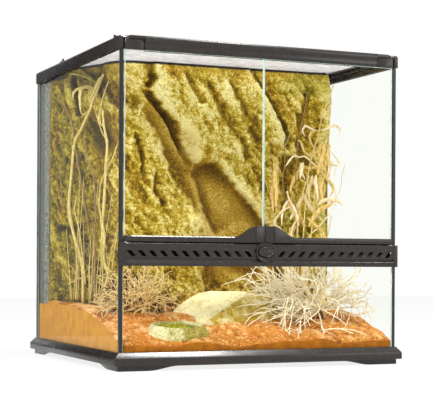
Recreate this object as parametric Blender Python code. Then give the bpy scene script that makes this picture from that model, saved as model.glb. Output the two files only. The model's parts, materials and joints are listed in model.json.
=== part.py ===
"""Front-opening glass terrarium, furnished: glass box, plinth, two glass doors, vent bar with a turn lock,
lift-out mesh lid, foam rock background, sand, dish, rock and dry plants.

X runs right along the front, Y runs to the back, Z is up. The origin is the centre of the footprint,
on the table. Every size below is in millimetres and is scaled to metres where a mesh is made.
"""

import math

import bmesh
import bpy
import numpy as np
from mathutils import Vector

MM = 0.001

# Fits. OVERRUN is how far a cutter runs past what it cuts, SINK how far a fused piece runs into its host
GAP = 0.3
BORE_PLAY = 0.4
OVERRUN = 5.0
SINK = 1.0

# Glass box
BOX_WIDTH = 450.0
BOX_DEPTH = 450.0
PANE = 4.0
BASE_PANE = 4.0
GLASS_FOOT = 16.0
GLASS_TOP = 468.0
TRIM_WIDTH = 4.8
TRIM_INSET = 0.4
SEAL_LEG = 6.0

# Plinth
PLINTH_OVERHANG = 8.5
PLINTH_LIP = 1.2
BEVEL_TOP = 27.0
BEVEL_FOOT = 18.5
BAND_BOTTOM = 8.0
SKIRT_OVERHANG = 2.0
SKIRT_WALL = 3.5
LEDGE_REACH = 18.0
LEDGE_THICKNESS = 3.7
ARCH_RISE = 6.5
FOOT_FLAT = 47.0
FOOT_CURVE = 46.0
FOOT_PAD = 24.0

# Top frame. It laps over the panes' top edges and rises above them
RAIL_LAP = 6.7
RAIL_RISE = 12.0
RAIL_OVERHANG = 2.0
RAIL_ROUNDING = 1.5
RAIL_ROUNDING_DROP = 2.5
CHANNEL_WALL = 1.5
RIM_INSET = 6.5
REBATE_DEPTH = 8.0
REBATE_REACH = 16.0
STOP_LAP = 1.0

# Moulding of the front rail: two convex steps, and a bevelled crown between the hinges
MOULDING_RISE = 1.0
MOULDING_SPLIT = 0.47
LOWER_STEP_PROUD = 1.0
LOWER_STEP_BOW = 1.1
UPPER_STEP_PROUD = 1.6
UPPER_STEP_BOW = 1.8
STEP_LEDGE = 1.2
CROWN_PROUD = 2.4
CROWN_STEP = 0.4

# Lid. Its net lies a little below the top of the frame
LID_WIDTH = 15.0
LID_PLAY = 0.5
LID_CHAMFER = 1.0
LID_INNER_CHAMFER = (2.5, 2.0)
MESH_DEPTH = 5.4
MESH_THICKNESS = 1.0
MESH_GRIP = 2.4
MESH_CELLS = 12
MESH_WIRE = 4.0

# Lid latches, with their places from the front and from the rear of the glass box
LATCH_LENGTH = 15.0
LATCH_WIDTH = 4.0
LATCH_THICKNESS = 2.0
LATCH_NIB = 3.2
LATCH_NIB_LENGTH = 1.8
LATCH_PIN = 1.5
LATCH_PIN_LENGTH = 3.5
LATCH_INSET = 3.0
FRONT_LATCH_PLACE = 22.0
REAR_LATCH_PLACE = 134.0

# Cable inlets in the rear rail, with their place from the sides of the glass box
INLET_PLACE = 95.0
INLET_WIDTH = 30.0
INLET_TRAVEL = 32.0
INLET_DEPTH = 9.4
INLET_SILL = 1.2
GATE_THICKNESS = 2.0
GATE_LAP = 3.0
GATE_TAB = 2.2
GATE_TAB_HALF_WIDTH = 5.0

# Vent bar. Heights within it are from its foot
BAR_BOTTOM = 151.0
BAR_HEIGHT = 33.5
PANE_BITE = 5.0
BAR_PROUD = 7.0
BAR_WALL = 2.5
BAR_DEPTH = 15.0
BAFFLE_TOP = 25.0
REAR_LIP_RISE = 5.0
REAR_LIP_THICKNESS = 1.2
BAR_OVERHANG = 2.0
BAR_CHAMFER = 1.0
CAP_CHAMFER = 2.5
CAP_OVERLAP = 1.5
GROOVE_LOW = 7.5
GROOVE_HIGH = 12.0
GROOVE_DEPTH = 3.0
LOWER_RAIL_INSET = 0.5
LOWER_RAIL_CHAMFER = 0.8
INNER_STEP = 2.0
INNER_CEILING = 1.3
SLOTS_PER_SIDE = 12
SLOT_FIRST = 27.2
SLOT_END_MARGIN = 10.1
SLOT_WIDTH = 7.0
SLOT_SLANT = 7.0
SLOT_LOW = 14.0
SLOT_HIGH = 22.4

# Lock. The blade's arm reaches BLADE_BITE up into the doors when it stands upright
LOCK_RISE = 21.4
HOUSING_RADIUS = 15.6
HOUSING_DEPTH = 2.7
HOUSING_WELL = 1.2
HOUSING_TOP_STEP = 1.0
KNOB_HALF_WIDTH = 12.7
KNOB_HALF_HEIGHT = 7.7
KNOB_DEPTH = 3.8
KNOB_ROUNDING = 1.0
KNOB_DISH = 1.1
SPINDLE = 3.5
SPINDLE_LENGTH = 12.0
HUB_WALL = 2.2
HUB_STEP = 1.5
BLADE_BITE = 5.2
BLADE_WIDTH = 7.0
BLADE_THICKNESS = 2.0
BLADE_STAND_OFF = 0.6
BLADE_PLAY = 0.8

# Doors
DOOR_SEAM = 1.2
DOOR_FOOT_PLAY = 1.7
DOOR_TOP_PLAY = 0.6
HINGE_INSET = 8.5
HINGE_EDGE = 0.8
BARREL = 2.6
PIN = 1.4
PIN_BITE = 6.0
LOWER_PIN_DEPTH = 4.0
LOWER_BORE_DEPTH = 8.0
PIN_HEADROOM = 1.2
RAIL_HEIGHT = 8.3
RAIL_WEB = 2.0
RAIL_BACK = 2.2
RAIL_CHAMFER = 1.5
HINGE_BEVEL = 9.0
HINGE_CORNER = 1.2
PANE_NOTCH = 1.0
BUMP_RISE = 16.5
BUMP_HALF_WIDTH = 49.0
BUMP_SHOULDER = 13.0
BUMP_PROUD = 1.5
SCOOP_RADIUS = 30.0
SCOOP_DEPTH = 2.5
RIDGE_PLACE = 14.8
RIDGE_WIDTH = 2.4
RIDGE_PROUD = 1.0
RIDGE_DROP = 2.5
POCKET_PLAY = 1.2
UPPER_BLOCK_LENGTH = 26.0
UPPER_BLOCK_DROP = 4.6
UPPER_BLOCK_LIP = 0.4
RECESS_PLAY = 0.5
RECESS_END_PLAY = 1.0
RECESS_SPLAY = 0.588
RECESS_BEND = 0.8

# Sand: low at the front glass, banked up to the back
SAND_FRONT = 34.0
SAND_BANK = 58.0
SAND_RUN = 110.0
SAND_RIPPLE = 1.6
RIPPLE_LENGTHS = (31.0, 47.0, 23.0)
SAND_COLUMNS = 34
SAND_ROWS = 20
POCKET_MARGIN = 0.8

# Foam rock background. Its face in plan from left to right, as share of the half width and place from the rear
ROCK_PLAN = ((-1.0, 65.0), (-0.816, 160.0), (-0.685, 227.0), (0.0, 222.0), (1.0, 214.0))
ROCK_SHOULDER_PLAY = 4.3
ROCK_CREST_PLAY = 0.6
ROCK_CREST_INSET = 3.0
ROCK_FOOT_BAND = 100.0
ROCK_FOOT_FADE = 40.0
ROCK_TOP_FADE = 10.0
ROCK_SIDE_FADE = 12.0
ROCK_COLUMNS = 34
ROCK_ROWS = 26

# Creases: x and z of the top, x and z of the foot, width, depth, step up on the right side
ROCK_CREASES = (
    (-93.0, 440.0, -20.0, 316.0, 9.0, 9.0, 8.0),
    (-20.0, 316.0, 120.0, 200.0, 14.0, 3.0, 8.0),
    (-108.0, 425.0, -10.0, 250.0, 12.0, 3.0, -7.0),
    (78.0, 475.0, 138.0, 345.0, 8.0, 8.0, 5.0),
    (-126.0, 368.0, -110.0, 290.0, 8.0, 7.0, 2.0),
)

# Bulges: x, z, half width, half height, rise
ROCK_BULGES = (
    (-42.0, 215.0, 52.0, 30.0, 8.0),
    (-36.0, 352.0, 16.0, 34.0, -8.0),
    (-45.0, 430.0, 50.0, 45.0, 6.0),
    (43.0, 345.0, 50.0, 60.0, 6.0),
    (170.0, 330.0, 40.0, 100.0, 6.0),
    (-195.0, 425.0, 26.0, 26.0, 9.0),
    (-193.0, 362.0, 24.0, 34.0, -9.0),
    (-210.0, 260.0, 24.0, 80.0, 6.0),
)

# Water dish, with its place from the left side and from the front of the glass box
DISH_FROM_LEFT = 106.0
DISH_FROM_FRONT = 49.0
DISH_HALF_LENGTH = 47.0
DISH_HALF_WIDTH = 29.0
DISH_HEIGHT = 23.0
DISH_BOWL = 14.0
DISH_SLANT = 4.5
DISH_SINK = 2.0

# Flat rock, with how far it overlaps the dish from left to right and from front to rear
HIDE_HALF_LENGTH = 88.0
HIDE_HALF_WIDTH = 52.0
HIDE_HEIGHT = 59.0
HIDE_LEAN = 9.0
HIDE_SINK = 4.0
HIDE_LAP_X = 30.0
HIDE_LAP_Y = 17.0

# Edges of the dish and the rock: points round them, phase of the unevenness, its share of the radius
EDGE_POINTS = 26
DISH_PHASE = 0.9
DISH_ROUGH = 0.028
HIDE_PHASE = 2.2
HIDE_ROUGH = 0.035

# Dry plants. Places are from the nearer side and from the front or the rock's line, spreads are half width,
# half depth and height, and stalks' heights are shares of the room between the sand and the rock's shoulder
BUSH_STEM = 4.5
PLANT_SINK = 3.0
TWIG_ROOT = 1.9
TWIG_TIP = 0.9
LEFT_BUSH_FROM_LEFT = 75.0
LEFT_BUSH_FROM_FRONT = 141.0
LEFT_BUSH_SPREAD = (58.0, 34.0, 62.0)
LEFT_BUSH_TWIGS = 15
LEFT_BUSH_STUMP = 8.0
LEFT_BUSH_LEAN = 0.0
RIGHT_BUSH_FROM_RIGHT = 89.0
RIGHT_BUSH_FROM_FRONT = 85.0
RIGHT_BUSH_SPREAD = (88.0, 44.0, 96.0)
RIGHT_BUSH_LEAN = -10.0
RIGHT_BUSH_TWIGS = 17
RIGHT_BUSH_STUMP = 16.0
REEDS_FROM_LEFT = 37.0
REEDS_FROM_ROCK = 115.0
REED_HEIGHTS = (0.97, 0.89, 0.79, 0.69, 0.62, 0.5)
REED_LEAN = 8.0
REED_SPREAD = 18.0
GRASS_FROM_RIGHT = 65.0
GRASS_FROM_ROCK = 49.0
GRASS_HEIGHTS = (0.97, 0.93, 0.74, 0.6, 0.5, 0.4, 0.3)
GRASS_LEAN = 14.0
GRASS_SPREAD = 26.0
CLUMP_RADIUS = 8.0
CLUMP_BASE = 6.0

# Glass box and plinth, worked out from the sizes above
HALF_W = BOX_WIDTH / 2
HALF_D = BOX_DEPTH / 2
FRONT = -HALF_D
INNER_X = HALF_W - PANE - GAP
INNER_Y = HALF_D - PANE - GAP
PANE_BACK = FRONT + PANE + GAP
TRIM_OUTER = HALF_W - TRIM_INSET
TRIM_INNER = TRIM_OUTER - TRIM_WIDTH
LEDGE_TOP = GLASS_FOOT - GAP
BASE_TOP = GLASS_FOOT + BASE_PANE

# Top frame and lid, worked out
RAIL_BOTTOM = GLASS_TOP - RAIL_LAP
RAIL_TOP = GLASS_TOP + RAIL_RISE
FRAME_TOP = RAIL_TOP + MOULDING_RISE
REBATE_FLOOR = RAIL_TOP - REBATE_DEPTH
LID_OUTER = -RIM_INSET - LID_PLAY
LID_BOTTOM = REBATE_FLOOR + GAP
MESH_LEVEL = RAIL_TOP - MESH_DEPTH
LATCH_PLACES = (FRONT + FRONT_LATCH_PLACE, HALF_D - REAR_LATCH_PLACE)
INLET_PLACES = (INLET_PLACE - HALF_W, HALF_W - INLET_PLACE)
INLET_FLOOR = RAIL_TOP - INLET_DEPTH

# Vent bar and lock, worked out
BAR_TOP = BAR_BOTTOM + BAR_HEIGHT
FRONT_PANE_TOP = BAR_BOTTOM + PANE_BITE
BAR_FRONT = FRONT - BAR_PROUD
BAR_BACK = BAR_FRONT + BAR_DEPTH
BAR_VOID_FRONT = BAR_FRONT + BAR_WALL
BAR_END = TRIM_INNER - GAP
GROOVE_BOTTOM = BAR_BOTTOM + GROOVE_LOW
GROOVE_TOP = BAR_BOTTOM + GROOVE_HIGH
SLOT_PITCH = (BAR_END - SLOT_END_MARGIN - SLOT_FIRST) / (SLOTS_PER_SIDE - 1)
LOCK_HEIGHT = BAR_BOTTOM + LOCK_RISE
BLADE_FRONT = BAR_VOID_FRONT + BLADE_STAND_OFF
BLADE_BACK = BLADE_FRONT + BLADE_THICKNESS

# Doors, worked out
DOOR_FOOT = BAR_TOP + DOOR_FOOT_PLAY
DOOR_TOP = RAIL_BOTTOM - DOOR_TOP_PLAY
DOOR_GLASS_FOOT = DOOR_FOOT + RAIL_WEB + GAP
DOOR_RAIL_TOP = DOOR_FOOT + RAIL_HEIGHT
BUMP_TOP = DOOR_RAIL_TOP + BUMP_RISE
BUMP_FRONT = BAR_FRONT - BUMP_PROUD
BLADE_REACH = DOOR_FOOT + BLADE_BITE - LOCK_HEIGHT
HINGE_X = HALF_W - HINGE_INSET
UPPER_BLOCK_TOP = RAIL_TOP - UPPER_BLOCK_DROP
RECESS_TOP = UPPER_BLOCK_TOP + BORE_PLAY
RECESS_END = HINGE_X - UPPER_BLOCK_LENGTH - RECESS_END_PLAY
MOULDING_END = RECESS_END - GAP

# Contents, worked out
ROCK_SHOULDER = RAIL_BOTTOM - ROCK_SHOULDER_PLAY
ROCK_TOP = MESH_LEVEL - ROCK_CREST_PLAY
DISH_PLACE = (DISH_FROM_LEFT - HALF_W, FRONT + DISH_FROM_FRONT)
HIDE_PLACE = (
    DISH_PLACE[0] + DISH_HALF_LENGTH + HIDE_HALF_LENGTH - HIDE_LAP_X,
    DISH_PLACE[1] + DISH_HALF_WIDTH + HIDE_HALF_WIDTH - HIDE_LAP_Y,
)
LEFT_BUSH_PLACE = (LEFT_BUSH_FROM_LEFT - HALF_W, FRONT + LEFT_BUSH_FROM_FRONT)
RIGHT_BUSH_PLACE = (HALF_W - RIGHT_BUSH_FROM_RIGHT, FRONT + RIGHT_BUSH_FROM_FRONT)


# Materials


def linear(hex_colour):
    """sRGB hex to linear RGB."""
    values = [int(hex_colour[i : i + 2], 16) / 255 for i in (0, 2, 4)]
    return [v / 12.92 if v <= 0.04045 else ((v + 0.055) / 1.055) ** 2.4 for v in values]


def material(name, hex_colour, roughness, metallic=0.0, transmission=0.0):
    made = bpy.data.materials.new(name)
    made.use_nodes = True
    shader = made.node_tree.nodes["Principled BSDF"]
    colour = (*linear(hex_colour), 1.0)
    shader.inputs["Base Color"].default_value = colour
    shader.inputs["Roughness"].default_value = roughness
    shader.inputs["Metallic"].default_value = metallic
    shader.inputs["Transmission Weight"].default_value = transmission
    made.diffuse_color = colour
    return made


def make_materials():
    return {
        "plastic": material("black_abs", "3A3634", 0.38),
        "glass": material("float_glass", "EEF5F0", 0.03, transmission=1.0),
        "silicone": material("black_silicone", "1E1D1D", 0.5),
        "steel": material("stainless_mesh", "B9B9B6", 0.35, metallic=1.0),
        "foam": material("painted_foam_rock", "A8953B", 0.9),
        "sand": material("desert_sand", "D98F3C", 0.95),
        "resin": material("moulded_resin_rock", "B5B36A", 0.8),
        "straw": material("dry_straw", "D9C08A", 0.8),
        "twig": material("dry_twig", "B79F72", 0.85),
    }


# Building blocks


def clear_scene():
    for found in list(bpy.data.objects):
        bpy.data.objects.remove(found, do_unlink=True)


def new_object(name, shape, finish=None, origin=(0.0, 0.0, 0.0), parent=None, smooth=None):
    """Turns a bmesh in millimetres into an object whose origin is at `origin`."""
    bmesh.ops.remove_doubles(shape, verts=shape.verts, dist=1e-4)
    bmesh.ops.recalc_face_normals(shape, faces=shape.faces)
    bmesh.ops.translate(shape, verts=shape.verts, vec=-Vector(origin))
    bmesh.ops.scale(shape, verts=shape.verts, vec=(MM, MM, MM))
    mesh = bpy.data.meshes.new(name)
    shape.to_mesh(mesh)
    shape.free()
    made = bpy.data.objects.new(name, mesh)
    bpy.context.scene.collection.objects.link(made)
    if finish is not None:
        mesh.materials.append(finish)
    if smooth is not None:
        mesh.shade_smooth()
        mesh.set_sharp_from_angle(angle=math.radians(smooth))
    made.location = Vector(origin) * MM
    if parent is not None:
        made.parent = parent
        made.location = (Vector(origin) * MM) - parent.location
    return made


def helper(shape, name):
    """A cutter or a piece to fuse: hidden, and shown as wire."""
    made = new_object(name, shape)
    made.hide_render = True
    made.display_type = "WIRE"
    made.hide_set(True)
    return made


def boolean(target, shape, operation, name):
    made = helper(shape, f"{target.name}_{name}")
    modifier = target.modifiers.new(name, "BOOLEAN")
    modifier.operation = operation
    modifier.solver = "EXACT"
    modifier.object = made
    made.parent = target.parent
    if target.parent is not None:
        made.location = -target.parent.location
    return modifier


def cut(target, shape, name):
    return boolean(target, shape, "DIFFERENCE", name)


def fuse(target, shape, name):
    return boolean(target, shape, "UNION", name)


def joined(*shapes):
    """Several closed shapes in one bmesh."""
    total = bmesh.new()
    for shape in shapes:
        mesh = bpy.data.meshes.new("part")
        shape.to_mesh(mesh)
        shape.free()
        total.from_mesh(mesh)
        bpy.data.meshes.remove(mesh)
    bmesh.ops.recalc_face_normals(total, faces=total.faces)
    return total


def joint_axis(name, place):
    """An empty on a joint's axis, which the moving pieces hang from."""
    made = bpy.data.objects.new(name, None)
    bpy.context.scene.collection.objects.link(made)
    made.location = Vector(place) * MM
    return made


def mirrored(shape):
    """The shape's mirror image in X."""
    bmesh.ops.scale(shape, verts=shape.verts, vec=(-1, 1, 1))
    bmesh.ops.reverse_faces(shape, faces=shape.faces)
    return shape


def sided(shape, side):
    return mirrored(shape) if side < 0 else shape


def box(low, high):
    shape = bmesh.new()
    bmesh.ops.create_cube(shape, size=1.0)
    low, high = Vector(low), Vector(high)
    bmesh.ops.scale(shape, verts=shape.verts, vec=high - low)
    bmesh.ops.translate(shape, verts=shape.verts, vec=(high + low) / 2)
    return shape


AXES = {
    "x": lambda a, b, c: (c, a, b),
    "y": lambda a, b, c: (a, c, b),
    "z": lambda a, b, c: (a, b, c),
}


def prism(outline, axis, start, end):
    """Extrudes an outline along an axis: (y, z) points along x, (x, z) along y, (x, y) along z."""
    shape = bmesh.new()
    place = AXES[axis]
    ends = [[shape.verts.new(place(a, b, c)) for a, b in outline] for c in (start, end)]
    for loop in ends:
        shape.faces.new(loop)
    count = len(outline)
    for i in range(count):
        j = (i + 1) % count
        shape.faces.new((ends[0][i], ends[0][j], ends[1][j], ends[1][i]))
    bmesh.ops.recalc_face_normals(shape, faces=shape.faces)
    return shape


def rod(centre, radius, axis, start, end, sides=24):
    """A cylinder along an axis. `centre` holds its two other coordinates in outline order."""
    turn = [2 * math.pi * i / sides for i in range(sides)]
    outline = [(centre[0] + radius * math.cos(t), centre[1] + radius * math.sin(t)) for t in turn]
    return prism(outline, axis, start, end)


def skin_loops(loops):
    """A closed body through loops of equal length, capped at the first and the last."""
    shape = bmesh.new()
    rings = [[shape.verts.new(tuple(p)) for p in loop] for loop in loops]
    count = len(rings[0])
    for lower, upper in zip(rings, rings[1:]):
        for i in range(count):
            j = (i + 1) % count
            shape.faces.new((lower[i], lower[j], upper[j], upper[i]))
    shape.faces.new(rings[0])
    shape.faces.new(rings[-1])
    bmesh.ops.recalc_face_normals(shape, faces=shape.faces)
    return shape


def frame_ring(profile, half_x, half_y):
    """A mitred frame. The profile's points are (outward from the glass face, height)."""
    shape = bmesh.new()
    corners = ((1, 1), (-1, 1), (-1, -1), (1, -1))
    rings = []
    for out, z in profile:
        rings.append([shape.verts.new((sx * (half_x + out), sy * (half_y + out), z)) for sx, sy in corners])
    count = len(profile)
    for i in range(count):
        nearer, farther = rings[i], rings[(i + 1) % count]
        for j in range(4):
            k = (j + 1) % 4
            shape.faces.new((nearer[j], nearer[k], farther[k], farther[j]))
    bmesh.ops.recalc_face_normals(shape, faces=shape.faces)
    return shape


def arc(centre, radius, start, end, steps):
    """Points on a circle, with angles in degrees."""
    turn = np.radians(np.linspace(start, end, steps + 1))
    return [(centre[0] + radius * math.cos(t), centre[1] + radius * math.sin(t)) for t in turn]


def bow(first, last, rise, steps):
    """Points of a shallow arch from first to last, rising `rise` to the left of the way."""
    first, last = Vector(first), Vector(last)
    side = Vector((-(last - first).y, (last - first).x)).normalized()
    share = np.linspace(0, 1, steps + 1)
    return [tuple(first.lerp(last, t) + side * rise * 4 * t * (1 - t)) for t in share]


def smooth_step(value):
    value = min(max(value, 0.0), 1.0)
    return value * value * (3 - 2 * value)


# Glass box


def glass_panes(finish):
    base = box((-INNER_X, PANE_BACK, GLASS_FOOT), (INNER_X, INNER_Y, BASE_TOP))
    new_object("base_glass", base, finish)
    for side, name in ((-1, "left_glass"), (1, "right_glass")):
        pane = box((HALF_W - PANE, PANE_BACK, GLASS_FOOT), (HALF_W, INNER_Y, GLASS_TOP))
        new_object(name, sided(pane, side), finish)
    rear = box((-HALF_W, HALF_D - PANE, GLASS_FOOT), (HALF_W, HALF_D, GLASS_TOP))
    new_object("back_glass", rear, finish)
    front = box((-BAR_END, FRONT, GLASS_FOOT), (BAR_END, FRONT + PANE, FRONT_PANE_TOP))
    new_object("front_glass", front, finish)


def corner_strips(finish):
    """Black edge strips beside the doors, and fillets of silicone in the two rear corners."""
    for side, word in ((-1, "left"), (1, "right")):
        strip = box((TRIM_INNER, FRONT, GLASS_FOOT), (TRIM_OUTER, FRONT + PANE, RAIL_BOTTOM - GAP))
        new_object(f"{word}_front_trim", sided(strip, side), finish)
        outline = [(INNER_X, INNER_Y), (INNER_X - SEAL_LEG, INNER_Y), (INNER_X, INNER_Y - SEAL_LEG)]
        seal = prism(outline, "z", BASE_TOP + GAP, RAIL_BOTTOM - GAP)
        new_object(f"{word}_rear_seal", sided(seal, side), finish)


# Plinth


def arch_outline(half_length, steps=8):
    """The cut-away between two feet: flat on top, with an S-curve down to each foot."""
    start = half_length - FOOT_FLAT
    share = [i / steps for i in range(steps + 1)]
    right = [(start - FOOT_CURVE * t, ARCH_RISE * smooth_step(t)) for t in share]
    left = [(-x, z) for x, z in reversed(right)]
    return [(start, -OVERRUN), *right, *left, (-start, -OVERRUN)]


def plinth_profile():
    """Section of the plinth: bevel, band and skirt outside, and the ledge under the panes inside."""
    inner = SKIRT_OVERHANG - SKIRT_WALL
    return [
        (GAP, LEDGE_TOP),
        (GAP, BEVEL_TOP),
        (GAP + PLINTH_LIP, BEVEL_TOP),
        (PLINTH_OVERHANG, BEVEL_FOOT),
        (PLINTH_OVERHANG, BAND_BOTTOM),
        (SKIRT_OVERHANG, BAND_BOTTOM),
        (SKIRT_OVERHANG, 0.0),
        (inner, 0.0),
        (inner, LEDGE_TOP - LEDGE_THICKNESS),
        (-LEDGE_REACH, LEDGE_TOP - LEDGE_THICKNESS),
        (-LEDGE_REACH, LEDGE_TOP),
    ]


def corner_foot(sx, sy):
    """The triangular foot in one corner, up to the underside of the panes' ledge."""
    inset = SKIRT_WALL - SKIRT_OVERHANG - SINK
    near = (sx * (HALF_W - inset), sy * (HALF_D - inset))
    far = (near[0] - sx * FOOT_PAD, near[1] - sy * FOOT_PAD)
    return prism([near, (far[0], near[1]), (near[0], far[1])], "z", 0.0, LEDGE_TOP - SINK)


def bottom_frame(finish):
    frame = new_object("bottom_frame", frame_ring(plinth_profile(), HALF_W, HALF_D), finish)
    half_x, half_y = HALF_W + SKIRT_OVERHANG, HALF_D + SKIRT_OVERHANG
    reach_x, reach_y = half_x + OVERRUN, half_y + OVERRUN
    cut(frame, prism(arch_outline(half_x), "y", -reach_y, reach_y), "front_and_rear_arches")
    cut(frame, prism(arch_outline(half_y), "x", -reach_x, reach_x), "side_arches")
    feet = [corner_foot(sx, sy) for sx in (-1, 1) for sy in (-1, 1)]
    fuse(frame, joined(*feet), "corner_feet")


# Top frame


def top_rail_profile():
    """Section of the rail: a channel over the panes' top edges, and a rebate for the lid."""
    inner = -PANE - GAP
    crown = GLASS_TOP + GAP
    return [
        (GAP, RAIL_BOTTOM),
        (RAIL_OVERHANG, RAIL_BOTTOM),
        (RAIL_OVERHANG, RAIL_TOP - RAIL_ROUNDING_DROP),
        (RAIL_OVERHANG - RAIL_ROUNDING, RAIL_TOP),
        (-RIM_INSET, RAIL_TOP),
        (-RIM_INSET, REBATE_FLOOR),
        (-REBATE_REACH, REBATE_FLOOR),
        (-REBATE_REACH, crown),
        (inner - CHANNEL_WALL, crown),
        (inner - CHANNEL_WALL, RAIL_BOTTOM),
        (inner, RAIL_BOTTOM),
        (inner, crown),
        (GAP, crown),
    ]


def front_moulding():
    """The front rail's moulding, whose section is two convex steps from the foot up."""
    face = FRONT - RAIL_OVERHANG
    back = FRONT + 2 * SINK
    ridge = RAIL_BOTTOM + (FRAME_TOP - RAIL_BOTTOM) * MOULDING_SPLIT
    step = face - LOWER_STEP_PROUD
    lower = bow((step, RAIL_BOTTOM), (step, ridge), LOWER_STEP_BOW, 4)
    step = face - UPPER_STEP_PROUD
    upper = bow((step - SINK, ridge + STEP_LEDGE), (step, FRAME_TOP), UPPER_STEP_BOW, 6)
    section = [(back, RAIL_BOTTOM), *lower, *upper, (back, FRAME_TOP)]
    return prism(section, "x", -MOULDING_END, MOULDING_END)


def front_crown():
    """The bevelled strip along the front rail's top edge, between the two hinges."""
    end = HINGE_X - BARREL - 2 * SINK
    face = FRONT - RAIL_OVERHANG
    back = FRONT + 1.5 * SINK
    outline = [
        (-end, back),
        (-end, face),
        (-end + CROWN_PROUD, face - CROWN_PROUD),
        (end - CROWN_PROUD, face - CROWN_PROUD),
        (end, face),
        (end, back),
    ]
    return prism(outline, "z", RECESS_TOP + CROWN_STEP, FRAME_TOP - CROWN_STEP)


def front_filler():
    """Closes the front rail's channel, which holds no pane."""
    low = (-HALF_W + PANE, FRONT - SINK, RAIL_BOTTOM)
    return box(low, (HALF_W - PANE, FRONT + PANE + SINK, GLASS_TOP + SINK))


def door_stop():
    """The lip that the doors' top edges close against."""
    end = RECESS_END - SINK
    low = (-end, PANE_BACK, DOOR_TOP - STOP_LAP)
    return box(low, (end, PANE_BACK + CHANNEL_WALL, RAIL_BOTTOM + 2 * SINK))


def hinge_recess(side):
    """Room for a door's upper hinge block, splayed outside so that the block can swing through 120 degrees."""
    outer = HINGE_X + BARREL + RECESS_PLAY
    front, back = FRONT - 4 * OVERRUN, FRONT + PANE + GAP / 2
    bend = FRONT + RECESS_BEND
    outline = [
        (RECESS_END, front),
        (outer + (bend - front) * RECESS_SPLAY, front),
        (outer, bend),
        (outer, back),
        (RECESS_END, back),
    ]
    return sided(prism(outline, "z", RAIL_BOTTOM - OVERRUN, RECESS_TOP), side)


def frame_bores():
    """Bores for the doors' upper hinge pins and for the latches' pins."""
    bores = []
    for side in (-1, 1):
        top = RAIL_TOP - PIN_HEADROOM + BORE_PLAY
        bores.append(sided(rod((HINGE_X, FRONT), PIN + BORE_PLAY, "z", RECESS_TOP - SINK, top, 16), side))
        for place in LATCH_PLACES:
            centre = (HALF_W - LATCH_INSET, place)
            hole = rod(centre, LATCH_PIN + BORE_PLAY, "z", RAIL_TOP - OVERRUN, RAIL_TOP + OVERRUN, 12)
            bores.append(sided(hole, side))
    return joined(*bores)


def inlet_window(place):
    """The window through the rear rail, beside which the gate slides."""
    half = INLET_WIDTH / 2
    low = (place - half, HALF_D - RIM_INSET - 3 * SINK, INLET_FLOOR + INLET_SILL)
    return box(low, (place + half, HALF_D + 2 * OVERRUN, RAIL_TOP + OVERRUN))


def gate_middle():
    return HALF_D + (RAIL_OVERHANG - RIM_INSET) / 2


def gate_pocket(place):
    """The slot in the rear rail that the gate stands and slides in."""
    outward = math.copysign(1, place)
    half = INLET_WIDTH / 2 + GATE_LAP + GAP
    ends = sorted((place - outward * half, place + outward * (half + INLET_TRAVEL)))
    play = GATE_THICKNESS / 2 + GAP
    high = (ends[1], gate_middle() + play, RAIL_TOP + OVERRUN)
    return box((ends[0], gate_middle() - play, INLET_FLOOR), high)


def top_frame(finish):
    frame = new_object("top_frame", frame_ring(top_rail_profile(), HALF_W, HALF_D), finish)
    fuse(frame, front_filler(), "front_filler")
    fuse(frame, door_stop(), "door_stop")
    fuse(frame, front_moulding(), "front_moulding")
    fuse(frame, front_crown(), "front_crown")
    cut(frame, joined(hinge_recess(-1), hinge_recess(1)), "hinge_recesses")
    cut(frame, frame_bores(), "pin_bores")
    cut(frame, joined(*[inlet_window(place) for place in INLET_PLACES]), "inlet_windows")
    cut(frame, joined(*[gate_pocket(place) for place in INLET_PLACES]), "gate_pockets")


def inlet_gates(finish):
    """Sliding gates of the two cable inlets, each with a tab for a finger."""
    half, tab, thin = INLET_WIDTH / 2 + GATE_LAP, GATE_TAB_HALF_WIDTH, GATE_THICKNESS / 2
    foot, top, y = INLET_FLOOR + GAP, RAIL_TOP - GAP, gate_middle()
    for place, word in zip(INLET_PLACES, ("left", "right")):
        axis = joint_axis(f"{word}_inlet_axis", (place, y, INLET_FLOOR))
        outline = [
            (place - half, foot),
            (place + half, foot),
            (place + half, top),
            (place + tab, top),
            (place + tab - SINK, top + GATE_TAB),
            (place - tab + SINK, top + GATE_TAB),
            (place - tab, top),
            (place - half, top),
        ]
        gate = prism(outline, "y", y - thin, y + thin)
        new_object(f"{word}_inlet_gate", gate, finish, (place, y, INLET_FLOOR), axis)


# Lid


def lid(finish, steel):
    axis = joint_axis("lid_axis", (0.0, 0.0, LID_BOTTOM))
    inner = LID_OUTER - LID_WIDTH
    grip = inner + MESH_GRIP + GAP
    low, high = MESH_LEVEL - GAP, MESH_LEVEL + MESH_THICKNESS + GAP
    profile = [
        (LID_OUTER, LID_BOTTOM),
        (LID_OUTER, RAIL_TOP - LID_CHAMFER),
        (LID_OUTER - LID_CHAMFER, RAIL_TOP),
        (inner + LID_INNER_CHAMFER[0], RAIL_TOP),
        (inner, RAIL_TOP - LID_INNER_CHAMFER[1]),
        (inner, high),
        (grip, high),
        (grip, low),
        (inner, low),
        (inner, LID_BOTTOM),
    ]
    ring = frame_ring(profile, HALF_W, HALF_D)
    new_object("lid_frame", ring, finish, (0.0, 0.0, LID_BOTTOM), axis)
    reach = inner + MESH_GRIP
    net = wire_net(HALF_W + reach, HALF_D + reach, MESH_LEVEL, MESH_THICKNESS)
    new_object("lid_mesh", net, steel, (0.0, 0.0, LID_BOTTOM), axis)


def net_lines(half):
    """Both edges of each wire of the net, across a width of 2 half."""
    pitch = (2 * half - MESH_WIRE) / MESH_CELLS
    starts = -half + pitch * np.arange(MESH_CELLS + 1)
    return np.sort(np.concatenate([starts, starts + MESH_WIRE]))


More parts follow.
